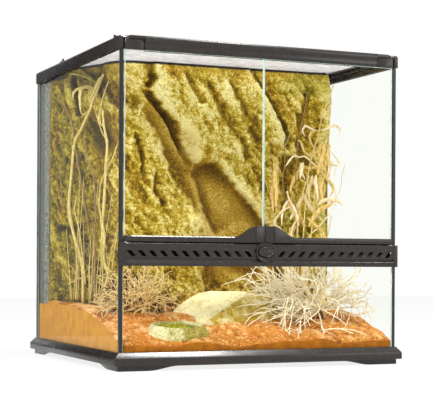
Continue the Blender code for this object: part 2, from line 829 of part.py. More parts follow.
def wire_net(half_x, half_y, level, thickness):
    """A flat net of square gaps with a closed border, one body."""
    shape = bmesh.new()
    xs, ys = net_lines(half_x), net_lines(half_y)
    grid = [[[shape.verts.new((x, y, z)) for y in ys] for x in xs] for z in (level, level + thickness)]
    last = len(xs) - 1

    def solid(i, j):
        inside = 0 <= i < last and 0 <= j < last
        return inside and (i % 2 == 0 or j % 2 == 0)

    filled = [(i, j) for i in range(last) for j in range(last) if solid(i, j)]
    for i, j in filled:
        for sheet in grid:
            shape.faces.new((sheet[i][j], sheet[i + 1][j], sheet[i + 1][j + 1], sheet[i][j + 1]))
        edges = (
            ((i, j), (i + 1, j), (i, j - 1)),
            ((i + 1, j), (i + 1, j + 1), (i + 1, j)),
            ((i + 1, j + 1), (i, j + 1), (i, j + 1)),
            ((i, j + 1), (i, j), (i - 1, j)),
        )
        for (a, b), (c, d), (m, n) in edges:
            if not solid(m, n):
                shape.faces.new((grid[0][a][b], grid[0][c][d], grid[1][c][d], grid[1][a][b]))
    loose = [v for v in shape.verts if not v.link_faces]
    bmesh.ops.delete(shape, geom=loose, context="VERTS")
    bmesh.ops.recalc_face_normals(shape, faces=shape.faces)
    bmesh.ops.dissolve_limit(shape, angle_limit=0.01, verts=shape.verts, edges=shape.edges)
    return shape


def latch(name, finish, x, place):
    """A turn button: lever, nib for a finger and pin."""
    toward = 1 if place < 0 else -1
    half = LATCH_WIDTH / 2
    foot = RAIL_TOP + GAP
    axis = joint_axis(f"{name}_axis", (x, place, foot))
    nib_y = place + toward * (LATCH_LENGTH - half)
    nose = arc((x, nib_y), half, 0, math.copysign(180, toward), 8)
    tail = arc((x, place), half, math.copysign(180, toward), math.copysign(360, toward), 8)
    lever = prism([*nose, *tail], "z", foot, foot + LATCH_THICKNESS)
    made = new_object(name, lever, finish, (x, place, foot), axis)
    nib_half = (half - SINK / 2, LATCH_NIB_LENGTH / 2)
    nib_low = (x - nib_half[0], nib_y - nib_half[1], foot + SINK)
    nib_high = (x + nib_half[0], nib_y + nib_half[1], foot + LATCH_THICKNESS + LATCH_NIB)
    fuse(made, box(nib_low, nib_high), "nib")
    fuse(made, rod((x, place), LATCH_PIN, "z", foot - LATCH_PIN_LENGTH, foot + SINK, 12), "pin")


def lid_latches(finish):
    """Turn buttons on the side rails. Along the rail they free the lid, and turned in they hold it."""
    for side, word in ((-1, "left"), (1, "right")):
        for place, end in zip(LATCH_PLACES, ("front", "rear")):
            latch(f"{word}_{end}_latch", finish, side * (HALF_W - LATCH_INSET), place)


# Vent bar and lock


def bar_section():
    """(y, z) section of the vent bar: louvre plate, top wall with a lip behind the doors, the rail that grips
    the lower pane, and the baffle behind the louvres.
    """
    seat_front, seat_top = FRONT - GAP, FRONT_PANE_TOP + GAP
    lip_front, lip_top = BAR_BACK - REAR_LIP_THICKNESS, BAR_TOP + REAR_LIP_RISE
    baffle_front, baffle_top = BAR_BACK - BAR_WALL, BAR_BOTTOM + BAFFLE_TOP
    recess = BAR_FRONT + GROOVE_DEPTH
    lower = BAR_FRONT + LOWER_RAIL_INSET
    shelf, ceiling = GROOVE_BOTTOM + INNER_STEP, GROOVE_TOP + INNER_CEILING
    return [
        (BAR_FRONT + BAR_CHAMFER, BAR_TOP),
        (BAR_FRONT, BAR_TOP - BAR_CHAMFER),
        (BAR_FRONT, GROOVE_TOP),
        (recess, GROOVE_TOP),
        (recess, GROOVE_BOTTOM),
        (lower + LOWER_RAIL_CHAMFER, GROOVE_BOTTOM),
        (lower, GROOVE_BOTTOM - LOWER_RAIL_CHAMFER),
        (lower, BAR_BOTTOM),
        (seat_front, BAR_BOTTOM),
        (seat_front, seat_top),
        (PANE_BACK, seat_top),
        (PANE_BACK, BAR_BOTTOM),
        (BAR_BACK, BAR_BOTTOM),
        (BAR_BACK, baffle_top),
        (baffle_front, baffle_top),
        (baffle_front, shelf),
        (recess + BAR_WALL, shelf),
        (recess + BAR_WALL, ceiling),
        (BAR_VOID_FRONT, ceiling),
        (BAR_VOID_FRONT, BAR_TOP - BAR_WALL),
        (BAR_BACK, BAR_TOP - BAR_WALL),
        (BAR_BACK, lip_top),
        (lip_front, lip_top),
        (lip_front, BAR_TOP),
    ]


def end_cap(side):
    """The bar's end, which passes the edge strip and ends a little outside the side glass."""
    inner, outer, seat = BAR_END - CAP_OVERLAP, HALF_W + BAR_OVERHANG, FRONT - GAP
    outline = [
        (inner, seat),
        (outer, seat),
        (outer, BAR_FRONT + CAP_CHAMFER),
        (outer - CAP_CHAMFER, BAR_FRONT),
        (inner, BAR_FRONT),
    ]
    return sided(prism(outline, "z", BAR_BOTTOM, BAR_TOP), side)


def louvre_slot(index, side):
    """One leaning slot. Its foot is nearer the middle of the bar than its top."""
    middle = SLOT_FIRST + index * SLOT_PITCH
    start = middle + (SLOT_SLANT - SLOT_WIDTH) / 2
    low, high = BAR_BOTTOM + SLOT_LOW, BAR_BOTTOM + SLOT_HIGH
    outline = [
        (start, high),
        (start + SLOT_WIDTH, high),
        (start + SLOT_WIDTH - SLOT_SLANT, low),
        (start - SLOT_SLANT, low),
    ]
    return sided(prism(outline, "y", BAR_FRONT - SINK, BAR_VOID_FRONT + GAP), side)


def blade_sweep(height):
    """How far the blade's tip swings to the left at a height."""
    return math.sqrt(BLADE_REACH**2 - (height - LOCK_HEIGHT) ** 2)


def blade_slot():
    """The slot in the bar's top wall that the blade rises through."""
    under = BAR_TOP - BAR_WALL
    low = (-blade_sweep(under) - BLADE_PLAY, BAR_VOID_FRONT - GAP / 2, under - SINK)
    return box(low, (BLADE_WIDTH / 2 + BLADE_PLAY, BLADE_BACK + BLADE_PLAY / 2, BAR_TOP + SINK))


def vent_bar(finish):
    bar = new_object("vent_bar", prism(bar_section(), "x", -BAR_END, BAR_END), finish)
    fuse(bar, joined(end_cap(-1), end_cap(1)), "end_caps")
    slots = [louvre_slot(i, side) for i in range(SLOTS_PER_SIDE) for side in (-1, 1)]
    cut(bar, joined(*slots), "louvre_slots")
    bore = (HINGE_X, FRONT), PIN + BORE_PLAY, "z", BAR_TOP - LOWER_BORE_DEPTH, BAR_TOP + SINK, 16
    cut(bar, joined(rod(*bore), mirrored(rod(*bore))), "hinge_bores")
    spindle = rod((0.0, LOCK_HEIGHT), SPINDLE + BORE_PLAY, "y", BAR_FRONT - SINK, BAR_VOID_FRONT + SINK)
    cut(bar, spindle, "spindle_bore")
    cut(bar, blade_slot(), "blade_slot")


def oval_loops(steps, count=28):
    """Loops of an oval knob: each step is (share of the oval, y)."""
    turn = np.linspace(0, 2 * np.pi, count, endpoint=False)
    loops = []
    for share, y in steps:
        x = share * KNOB_HALF_WIDTH * np.cos(turn)
        z = LOCK_HEIGHT + share * KNOB_HALF_HEIGHT * np.sin(turn)
        loops.append(list(zip(x, np.full(count, y), z)))
    return loops


def lock_housing(finish):
    """The round housing with a shallow well, flat on top under the doors' handle."""
    centre, face = (0.0, LOCK_HEIGHT), BAR_FRONT - GAP
    front = face - HOUSING_DEPTH
    housing = new_object("lock_housing", rod(centre, HOUSING_RADIUS, "y", front, face, 40), finish, smooth=40)
    well = rod(centre, KNOB_HALF_WIDTH + SINK, "y", front - SINK, front + HOUSING_WELL, 36)
    cut(housing, well, "well")
    cut(housing, rod(centre, SPINDLE + BORE_PLAY, "y", front - SINK, face + SINK), "spindle_bore")
    reach = HOUSING_RADIUS + SINK
    flat_low = (-reach, front - SINK, BAR_TOP + HOUSING_TOP_STEP)
    cut(housing, box(flat_low, (reach, face + SINK, LOCK_HEIGHT + reach)), "flat_top")


def lock_knob(finish, axis):
    """The oval knob with a raised rim round a bare boss, and its spindle."""
    back = BAR_FRONT - GAP - HOUSING_DEPTH + HOUSING_WELL - GAP
    tip = back - KNOB_DEPTH
    steps = [
        (0.96, back),
        (1.0, back - KNOB_ROUNDING / 2),
        (1.0, tip + KNOB_ROUNDING),
        (0.93, tip),
        (0.84, tip),
        (0.76, tip + KNOB_DISH),
        (0.60, tip + KNOB_DISH),
        (0.54, tip + KNOB_DISH / 2),
        (0.40, tip + KNOB_DISH / 5),
        (0.15, tip + KNOB_DISH / 10),
    ]
    shape, origin = skin_loops(oval_loops(steps)), (0.0, BAR_FRONT, LOCK_HEIGHT)
    knob = new_object("lock_knob", shape, finish, origin, axis, smooth=35)
    fuse(knob, rod((0.0, LOCK_HEIGHT), SPINDLE, "y", back - SINK, back + SPINDLE_LENGTH, 20), "spindle")


def lock_blade(finish, axis):
    """The blade's arm lies to the left behind the bar, and turned upright it stands behind both door rails."""
    centre, half = (0.0, LOCK_HEIGHT), BLADE_WIDTH / 2
    root = arc(centre, half, -90, 90, 8)
    tip = arc((half - BLADE_REACH, LOCK_HEIGHT), half, 90, 270, 8)
    arm = prism([*root, *tip], "y", BLADE_FRONT, BLADE_BACK)
    blade = new_object("lock_blade", arm, finish, (0.0, BAR_FRONT, LOCK_HEIGHT), axis)
    hub_back = BLADE_BACK + HUB_STEP
    fuse(blade, rod(centre, SPINDLE + HUB_WALL, "y", BLADE_FRONT, hub_back), "hub")
    cut(blade, rod(centre, SPINDLE + GAP, "y", BLADE_FRONT - SINK, hub_back + SINK, 20), "hub_bore")


def lock(finish):
    axis = joint_axis("lock_axis", (0.0, BAR_FRONT, LOCK_HEIGHT))
    lock_housing(finish)
    lock_knob(finish, axis)
    lock_blade(finish, axis)


# Doors


def bump_outline(steps=12):
    """Half of the handle's outline in (x, z), from the seam outward."""
    inner, reach = DOOR_SEAM / 2, BUMP_HALF_WIDTH - BUMP_SHOULDER
    share = [i / steps for i in range(steps + 1)]
    top = [(BUMP_SHOULDER + reach * t, DOOR_RAIL_TOP + BUMP_RISE * smooth_step(1 - t)) for t in share]
    return [(inner, DOOR_FOOT), (inner, BUMP_TOP), *top, (BUMP_HALF_WIDTH, DOOR_FOOT)]


def rail_section():
    """(y, z) section of a door rail: a channel for the pane with a chamfered front."""
    seat_front, back, seat = FRONT - GAP, PANE_BACK + RAIL_BACK, DOOR_FOOT + RAIL_WEB
    return [
        (BAR_FRONT, DOOR_FOOT),
        (back, DOOR_FOOT),
        (back, DOOR_RAIL_TOP),
        (PANE_BACK, DOOR_RAIL_TOP),
        (PANE_BACK, seat),
        (seat_front, seat),
        (seat_front, DOOR_RAIL_TOP),
        (BAR_FRONT + RAIL_CHAMFER, DOOR_RAIL_TOP),
        (BAR_FRONT, DOOR_RAIL_TOP - RAIL_CHAMFER),
    ]


def handle_ridge():
    """The upright ridge beside the handle's finger scoop."""
    low = (RIDGE_PLACE - RIDGE_WIDTH / 2, BUMP_FRONT - RIDGE_PROUD, DOOR_FOOT + GAP)
    return box(low, (RIDGE_PLACE + RIDGE_WIDTH / 2, BUMP_FRONT + SINK, BUMP_TOP - RIDGE_DROP))


def blade_pocket(side):
    """The pocket in the rail's foot for the blade, which swings into it from the left."""
    reach = (blade_sweep(DOOR_FOOT) if side < 0 else BLADE_WIDTH / 2) + BLADE_PLAY
    low = (-SINK, BLADE_FRONT - POCKET_PLAY, DOOR_FOOT - SINK)
    return sided(box(low, (reach, FRONT + GAP, DOOR_FOOT + BLADE_BITE + BLADE_PLAY)), side)


def hinge_bevel():
    """The slanting cut across the front of the rail's hinge end."""
    front = BAR_FRONT - OVERRUN
    outline = [
        (HINGE_X + 2 * OVERRUN, front),
        (HINGE_X - HINGE_BEVEL, front),
        (HINGE_X - HINGE_BEVEL, BAR_FRONT),
        (HINGE_X - 2 * SINK, FRONT - BARREL),
        (HINGE_X + 2 * OVERRUN, FRONT - BARREL),
    ]
    return prism(outline, "z", DOOR_FOOT - OVERRUN, DOOR_RAIL_TOP + OVERRUN)


def hinge_clearance():
    """Takes the rail's rear corner away, which would meet the edge strip as the door swings."""
    low = (HINGE_X - HINGE_CORNER, FRONT + BARREL - BORE_PLAY, DOOR_FOOT - OVERRUN)
    return box(low, (HINGE_X + 2 * OVERRUN, FRONT + 2 * OVERRUN, DOOR_RAIL_TOP + OVERRUN))


def door_rail(side, word, finish, axis, origin):
    """The door's lower rail with its half of the handle. Built on the right, mirrored for the left."""
    body = prism(rail_section(), "x", DOOR_SEAM / 2, HINGE_X)
    rail = new_object(f"{word}_door_rail", sided(body, side), finish, origin, axis)
    hinge = (HINGE_X, FRONT)
    fuse(rail, sided(prism(bump_outline(), "y", BUMP_FRONT, FRONT - GAP), side), "handle")
    fuse(rail, sided(handle_ridge(), side), "ridge")
    fuse(rail, sided(rod(hinge, BARREL, "z", DOOR_FOOT, DOOR_RAIL_TOP, 20), side), "barrel")
    scoop_y = BUMP_FRONT + SCOOP_DEPTH - SCOOP_RADIUS
    scoop = rod((0.0, scoop_y), SCOOP_RADIUS, "z", DOOR_FOOT - OVERRUN, BUMP_TOP + OVERRUN, 96)
    cut(rail, sided(scoop, side), "finger_scoop")
    cut(rail, blade_pocket(side), "blade_pocket")
    cut(rail, sided(hinge_bevel(), side), "hinge_bevel")
    cut(rail, sided(hinge_clearance(), side), "hinge_clearance")
    bore = rod(hinge, PIN + GAP, "z", DOOR_FOOT - OVERRUN, DOOR_FOOT + PIN_BITE, 16)
    cut(rail, sided(bore, side), "pin_bore")


def upper_block(side, word, finish, axis, origin):
    """The hinge block that grips the pane's upper corner and turns in the top rail's recess."""
    seat, lip, face = DOOR_TOP + GAP, DOOR_TOP - UPPER_BLOCK_LIP, FRONT - BARREL
    section = [
        (face, lip),
        (FRONT - GAP, lip),
        (FRONT - GAP, seat),
        (FRONT + PANE, seat),
        (FRONT + PANE, UPPER_BLOCK_TOP),
        (face, UPPER_BLOCK_TOP),
    ]
    body = prism(section, "x", HINGE_X - UPPER_BLOCK_LENGTH, HINGE_X)
    block = new_object(f"{word}_door_hinge_block", sided(body, side), finish, origin, axis)
    hinge = (HINGE_X, FRONT)
    fuse(block, sided(rod(hinge, BARREL, "z", seat, UPPER_BLOCK_TOP, 20), side), "barrel")
    bore = rod(hinge, PIN + GAP, "z", UPPER_BLOCK_TOP - PIN_BITE, UPPER_BLOCK_TOP + OVERRUN, 16)
    cut(block, sided(bore, side), "pin_bore")


def door_pane():
    """The right door's pane, cut back at its lower hinge corner to clear the rail's barrel."""
    inner, outer = DOOR_SEAM / 2, HINGE_X + HINGE_EDGE
    notch = HINGE_X - BARREL - PANE_NOTCH
    low, high = DOOR_GLASS_FOOT, DOOR_RAIL_TOP + GAP
    outline = [
        (inner, low),
        (notch, low),
        (notch, high),
        (outer, high),
        (outer, DOOR_TOP),
        (inner, DOOR_TOP),
    ]
    return prism(outline, "y", FRONT, FRONT + PANE)


def doors(glass, plastic, steel):
    hinge = (HINGE_X, FRONT)
    pins = (
        ("lower", BAR_TOP - LOWER_PIN_DEPTH, DOOR_FOOT + PIN_BITE - GAP),
        ("upper", UPPER_BLOCK_TOP - PIN_BITE + GAP, RAIL_TOP - PIN_HEADROOM),
    )
    for side, word in ((-1, "left"), (1, "right")):
        origin = (side * HINGE_X, FRONT, DOOR_FOOT)
        axis = joint_axis(f"{word}_door_axis", origin)
        new_object(f"{word}_door_glass", sided(door_pane(), side), glass, origin, axis)
        door_rail(side, word, plastic, axis, origin)
        upper_block(side, word, plastic, axis, origin)
        for level, low, high in pins:
            pin = sided(rod(hinge, PIN, "z", low, high, 16), side)
            new_object(f"{word}_{level}_hinge_pin", pin, steel, origin, axis, 40)


# Foam rock background


def rock_plan(x):
    """How far back the rock's plan line lies at x."""
    share, from_rear = np.array(ROCK_PLAN).T
    return np.interp(x, share * INNER_X, HALF_D - from_rear)


def before_rock(x, distance):
    """The place `distance` in front of the rock's plan line at x."""
    return x, float(rock_plan(x)) - distance


REED_PLACE = before_rock(REEDS_FROM_LEFT - HALF_W, REEDS_FROM_ROCK)
GRASS_PLACE = before_rock(HALF_W - GRASS_FROM_RIGHT, GRASS_FROM_ROCK)
PLANTED = (
    (LEFT_BUSH_PLACE, BUSH_STEM),
    (RIGHT_BUSH_PLACE, BUSH_STEM),
    (REED_PLACE, CLUMP_RADIUS),
    (GRASS_PLACE, CLUMP_RADIUS),
)


def rock_relief(x, z):
    """Bulges less creases, fading out towards the foot, the top and the side glasses."""
    relief = np.zeros(np.broadcast(x, z).shape)
    for cx, cz, half_width, half_height, rise in ROCK_BULGES:
        relief += rise * np.exp(-(((x - cx) / half_width) ** 2) - ((z - cz) / half_height) ** 2)
    for x_top, z_top, x_foot, z_foot, width, depth, step in ROCK_CREASES:
        along = np.clip((z_top - z) / (z_top - z_foot), -0.3, 1.3)
        fade = np.clip((along + 0.1) / 0.2, 0, 1) * np.clip((1.15 - along) / 0.3, 0, 1)
        across = (x - x_top - (x_foot - x_top) * along) / width
        side = step * np.tanh(across) * np.exp(-((across / 5) ** 2))
        relief += fade * (side - depth * np.exp(-(across**2)))
    fade_foot = np.clip((z - ROCK_FOOT_BAND) / ROCK_FOOT_FADE, 0, 1)
    fade_top = np.clip((ROCK_TOP + ROCK_TOP_FADE - z) / (2 * ROCK_TOP_FADE), 0, 1)
    fade_side = np.clip((INNER_X - np.abs(x)) / ROCK_SIDE_FADE, 0, 1)
    return relief * fade_foot * fade_top * fade_side


def crest_ring():
    """What the slab leaves free above its shoulder for the top frame's ledge and for the lid's frame."""
    foot, head = REBATE_REACH + ROCK_CREST_INSET, LID_WIDTH - LID_OUTER + ROCK_CREST_INSET
    profile = [
        (OVERRUN, ROCK_SHOULDER),
        (-foot, ROCK_SHOULDER),
        (-head, ROCK_TOP),
        (-head, ROCK_TOP + OVERRUN),
        (OVERRUN, ROCK_TOP + OVERRUN),
    ]
    return frame_ring(profile, HALF_W, HALF_D)


def rock_background(finish):
    """A foam slab that fills the rear of the box. Its face is a carved relief, and its other sides are flat."""
    foot, back = BASE_TOP + GAP, INNER_Y - SEAL_LEG - GAP
    columns = np.linspace(-INNER_X + GAP, INNER_X - GAP, ROCK_COLUMNS)
    rows = np.linspace(foot, ROCK_TOP, ROCK_ROWS)
    shape = bmesh.new()
    face = []
    for x in columns:
        depths = rock_plan(x) - rock_relief(x, rows)
        face.append([shape.verts.new((x, y, z)) for y, z in zip(depths, rows)])
    fill_grid(shape, face)
    left_low, left_high = [shape.verts.new((columns[0], back, z)) for z in (foot, ROCK_TOP)]
    right_low, right_high = [shape.verts.new((columns[-1], back, z)) for z in (foot, ROCK_TOP)]
    shape.faces.new([*face[0], left_high, left_low])
    shape.faces.new([*face[-1], right_high, right_low])
    shape.faces.new([*[column[-1] for column in face], right_high, left_high])
    shape.faces.new([*[column[0] for column in face], right_low, left_low])
    shape.faces.new([left_low, left_high, right_high, right_low])
    slab = new_object("rock_background", shape, finish, smooth=50)
    cut(slab, crest_ring(), "crest_ring")


def fill_grid(shape, rows):
    """Quads between the points of neighbouring rows."""
    for row, following in zip(rows, rows[1:]):
        for a, b, c, d in zip(row, following, following[1:], row[1:]):
            shape.faces.new((a, b, c, d))


# Sand and what stands on it


def sand_height(x, y):
    """The bank of sand, rippled."""
    run = y + HALF_D - PANE
    height = SAND_FRONT + SAND_BANK * (1 - np.exp(-run / SAND_RUN))
    sideways, slanting, backward = RIPPLE_LENGTHS
    return height + SAND_RIPPLE * np.sin(x / sideways + y / slanting) * np.cos(y / backward)


def dish_foot():
    """The dish is level, and its front edge stands just in the sand."""
    return float(sand_height(DISH_PLACE[0], DISH_PLACE[1] - DISH_HALF_WIDTH)) - DISH_SINK


def hide_foot():
    return float(sand_height(HIDE_PLACE[0], HIDE_PLACE[1] - HIDE_HALF_WIDTH)) - HIDE_SINK


def plant_foot(place):
    return float(sand_height(*place)) - PLANT_SINK


def rugged_loop(place, half_length, half_width, z, phase, rough):
    """An oval loop with an uneven edge."""
    turn = np.linspace(0, 2 * np.pi, EDGE_POINTS, endpoint=False)
    uneven = np.sin(3 * turn + phase) + 0.6 * np.sin(5 * turn + 2.1 * phase) + 0.4 * np.sin(8 * turn - phase)
    wave = 1 + rough * uneven
    x = place[0] + half_length * wave * np.cos(turn)
    y = place[1] + half_width * wave * np.sin(turn)
    return list(zip(x, y, np.full(EDGE_POINTS, z)))


def dish_loop(z, share=1.0, slant=0.0, margin=0.0):
    """A loop round the dish, lower at the front and higher at the rear by `slant`."""
    half_length, half_width = DISH_HALF_LENGTH * share + margin, DISH_HALF_WIDTH * share + margin
    loop = rugged_loop(DISH_PLACE, half_length, half_width, z, DISH_PHASE, DISH_ROUGH)
    return [(x, y, level + slant * (y - DISH_PLACE[1]) / DISH_HALF_WIDTH) for x, y, level in loop]


def hide_loop(z, share=1.0, lean=0.0, margin=0.0):
    """A loop round the flat rock, moved to the left by `lean`."""
    half_length, half_width = HIDE_HALF_LENGTH * share + margin, HIDE_HALF_WIDTH * share + margin
    place = (HIDE_PLACE[0] - lean, HIDE_PLACE[1])
    return rugged_loop(place, half_length, half_width, z, HIDE_PHASE, HIDE_ROUGH)


def sand_pockets():
    """The hollows that the dish, the rock and the plants stand in, a little wider than each."""
    high = GLASS_TOP / 2
    pockets = []
    for loop, foot in ((dish_loop, dish_foot()), (hide_loop, hide_foot())):
        outline = [point[:2] for point in loop(0.0, margin=POCKET_MARGIN)]
        pockets.append(prism(outline, "z", foot - GAP, high))
    for place, radius in PLANTED:
        pockets.append(rod(place, radius + GAP, "z", plant_foot(place) - GAP, high, 10))
    return joined(*pockets)


def sand(finish):
    """Closed body of sand between the panes, the base and the foot of the rock."""
    columns = np.linspace(-INNER_X + GAP, INNER_X - GAP, SAND_COLUMNS)
    front, foot = PANE_BACK + GAP, BASE_TOP + GAP
    rear = rock_plan(columns) - 2 * GAP
    shape = bmesh.new()
    top = []
    for x, end in zip(columns, rear):
        places = np.linspace(front, end, SAND_ROWS)
        top.append([shape.verts.new((x, y, z)) for y, z in zip(places, sand_height(x, places))])
    low_front = [shape.verts.new((x, front, foot)) for x in columns]
    low_rear = [shape.verts.new((x, y, foot)) for x, y in zip(columns, rear)]
    fill_grid(shape, top)
    fill_grid(shape, [[column[0] for column in top], low_front, low_rear, [column[-1] for column in top]])
    shape.faces.new([*top[0], low_rear[0], low_front[0]])
    shape.faces.new([*top[-1], low_rear[-1], low_front[-1]])
    body = new_object("sand", shape, finish, smooth=60)
    cut(body, sand_pockets(), "pockets")


def water_dish(finish):
    """A rock-shaped dish with sloping sides, a slanting rim and a hollow bowl with a level bottom."""
    foot = dish_foot()
    high = foot + DISH_HEIGHT
    steps = (
        (foot, 1.0, 0.0),
        (foot + 4, 0.99, 0.0),
        (high - 5, 0.94, DISH_SLANT),
        (high, 0.9, DISH_SLANT),
        (high - 0.5, 0.82, DISH_SLANT),
        (high - 5, 0.76, DISH_SLANT),
        (high - DISH_BOWL, 0.62, 0.0),
    )
    new_object("water_dish", skin_loops([dish_loop(*step) for step in steps]), finish, smooth=45)


def rock_hide(finish):
    """A low rock that rises to a blunt top, steeper on the left than on the right."""
    steps = (
        (0.0, 1.0),
        (0.2, 0.97),
        (0.45, 0.87),
        (0.66, 0.72),
        (0.84, 0.53),
        (0.95, 0.34),
        (1.0, 0.16),
    )
    foot = hide_foot()
    loops = [hide_loop(foot + HIDE_HEIGHT * rise, share, HIDE_LEAN * rise) for rise, share in steps]
    new_object("rock_hide", skin_loops(loops), finish, smooth=50)


# Dry plants


def tube(points, radii, sides):
    """A closed tapering tube along points."""
    points = np.asarray(points, float)
    way = np.gradient(points, axis=0)
    way /= np.linalg.norm(way, axis=1)[:, None]
    guide = np.array((0.31, 0.94, 0.13))
    across = np.cross(way, guide)
    across /= np.linalg.norm(across, axis=1)[:, None]
    upward = np.cross(way, across)
    turn = np.linspace(0, 2 * np.pi, sides, endpoint=False)
    loops = []
    for point, radius, a, b in zip(points, radii, across, upward):
        loops.append(point + radius * (np.cos(turn)[:, None] * a + np.sin(turn)[:, None] * b))
    return skin_loops(loops)


GOLDEN_ANGLE = math.pi * (3 - math.sqrt(5))


def bush(name, place, spread, lean, twigs, stump_height, finish):
    """A stump that carries arching twigs, spread evenly round it by the golden angle."""
    half_x, half_y, height = spread
    foot = plant_foot(place)
    stump_top = foot + stump_height
    stump = rod(place, BUSH_STEM, "z", foot, stump_top + 3 * SINK, 8)
    made = new_object(name, stump, finish, (place[0], place[1], foot))
    start = np.array((place[0], place[1], stump_top))
    share = np.linspace(0, 1, 6)[:, None]
    arms = []
    for i in range(twigs):
        level, azimuth = (i + 0.5) / twigs, i * GOLDEN_ANGLE
        out = math.sqrt(1 - (1 - level) ** 2)
        sideways = half_x * out * math.cos(azimuth) + lean
        backward = half_y * out * math.sin(azimuth)
        tip = start + np.array((sideways, backward, height * (1.05 - 0.95 * level)))
        middle = (start + tip) / 2 + np.array((0.0, 0.0, height * 0.28 * level))
        path = (1 - share) ** 2 * start + 2 * share * (1 - share) * middle + share**2 * tip
        arms.append(tube(path, np.linspace(TWIG_ROOT, TWIG_TIP, 6), 4))
    fuse(made, joined(*arms), "twigs").use_self = True


def clump(name, place, heights, lean, spread, finish):
    """A tuft with one curved stalk for each height, a share of the room above the sand."""
    foot = plant_foot(place)
    base = rod(place, CLUMP_RADIUS, "z", foot, foot + CLUMP_BASE, 10)
    made = new_object(name, base, finish, (place[0], place[1], foot))
    share = np.linspace(0, 1, 8)[:, None]
    stalks = []
    for i, height in enumerate(heights):
        azimuth = i * GOLDEN_ANGLE + 0.4
        outward = np.array((math.cos(azimuth), 0.45 * math.sin(azimuth), 0.0))
        start = np.array((*place, foot + 2 * SINK)) + outward * CLUMP_RADIUS * 0.55
        bend = outward * spread + np.array((lean, 0.0, 0.0))
        path = start + share**2 * bend + share * np.array((0.0, 0.0, height * (ROCK_SHOULDER - foot)))
        stalks.append(tube(path, np.linspace(TWIG_ROOT, TWIG_TIP, 8), 4))
    fuse(made, joined(*stalks), "stalks").use_self = True


def plants(straw, twig):
    left = LEFT_BUSH_PLACE, LEFT_BUSH_SPREAD, LEFT_BUSH_LEAN, LEFT_BUSH_TWIGS, LEFT_BUSH_STUMP
    right = RIGHT_BUSH_PLACE, RIGHT_BUSH_SPREAD, RIGHT_BUSH_LEAN, RIGHT_BUSH_TWIGS, RIGHT_BUSH_STUMP
    bush("left_bush", *left, twig)
    bush("right_bush", *right, straw)
    clump("reeds", REED_PLACE, REED_HEIGHTS, REED_LEAN, REED_SPREAD, straw)
    clump("grass_clump", GRASS_PLACE, GRASS_HEIGHTS, GRASS_LEAN, GRASS_SPREAD, straw)


def main():
    clear_scene()
    finishes = make_materials()
    glass_panes(finishes["glass"])
    corner_strips(finishes["silicone"])
    bottom_frame(finishes["plastic"])
    top_frame(finishes["plastic"])
    inlet_gates(finishes["plastic"])
    lid(finishes["plastic"], finishes["steel"])
    lid_latches(finishes["plastic"])
    vent_bar(finishes["plastic"])
    lock(finishes["plastic"])
    doors(finishes["glass"], finishes["plastic"], finishes["steel"])
    rock_background(finishes["foam"])
    sand(finishes["sand"])
    water_dish(finishes["resin"])
    rock_hide(finishes["resin"])
    plants(finishes["straw"], finishes["twig"])


main()
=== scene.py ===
"""Looks of a front-opening glass terrarium: black moulded plastic, float glass, woven lid mesh, a painted
foam rock background, orange sand, a water dish, a flat rock, two dry bushes, reeds and dry grass.

Lengths in this file are millimetres. Every mesh is scaled to metres when it is made. A place on the rock's
face is (s, z): the length along the face's line in plan, from the left glass, and the height.
"""

import json
import math

import bmesh
import bpy
import numpy as np
from mathutils import Matrix, Vector


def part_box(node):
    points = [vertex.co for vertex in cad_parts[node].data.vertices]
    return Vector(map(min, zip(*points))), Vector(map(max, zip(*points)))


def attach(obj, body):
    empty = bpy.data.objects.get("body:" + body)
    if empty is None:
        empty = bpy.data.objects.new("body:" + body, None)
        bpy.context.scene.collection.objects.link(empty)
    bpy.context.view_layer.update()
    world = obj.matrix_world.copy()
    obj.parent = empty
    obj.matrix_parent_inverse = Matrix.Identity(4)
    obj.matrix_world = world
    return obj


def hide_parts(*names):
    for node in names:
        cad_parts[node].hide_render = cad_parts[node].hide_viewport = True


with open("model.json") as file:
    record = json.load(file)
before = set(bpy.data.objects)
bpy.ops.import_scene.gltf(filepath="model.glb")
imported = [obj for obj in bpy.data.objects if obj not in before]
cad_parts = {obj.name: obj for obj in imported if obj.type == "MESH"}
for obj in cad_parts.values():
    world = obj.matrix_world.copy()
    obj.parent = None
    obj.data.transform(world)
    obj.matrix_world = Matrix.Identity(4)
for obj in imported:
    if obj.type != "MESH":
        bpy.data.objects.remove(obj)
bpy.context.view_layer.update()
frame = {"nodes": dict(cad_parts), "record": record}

MM = 0.001
TANK = "tank"

# Photograph's frame and the camera fitted to it
PICTURE = (433, 400)
PRINCIPAL = (290.0, 264.464)
FOCAL_PIXELS = 1405.246
CAMERA_PLACE = (-854.157, -2140.9, 154.187)
CAMERA_YAW = math.radians(25.1126)
CAMERA_ROLL = math.radians(0.2973)
SENSOR = 36.0
CAMERA_RIGHT = np.array((math.cos(CAMERA_YAW), -math.sin(CAMERA_YAW), 0.0))
UPRIGHT = np.array((0.0, 0.0, 1.0))

# Inside of the glass box: half its width, the base pane's top and the back pane's front
INSIDE = 220.4
FLOOR_TOP = 20.4
BACK = 214.4


# Colours and shader nodes


def linear(hex_colour):
    """sRGB hex to linear RGBA."""
    values = [int(hex_colour[i : i + 2], 16) / 255 for i in (0, 2, 4)]
    return (*[v / 12.92 if v <= 0.04045 else ((v + 0.055) / 1.055) ** 2.4 for v in values], 1.0)


def plug(tree, made, inputs):
    """Links sockets to a node's inputs, and sets the inputs that have plain values."""
    for key, value in inputs.items():
        if isinstance(value, bpy.types.NodeSocket):
            tree.links.new(value, made.inputs[key])
        else:
            made.inputs[key].default_value = value


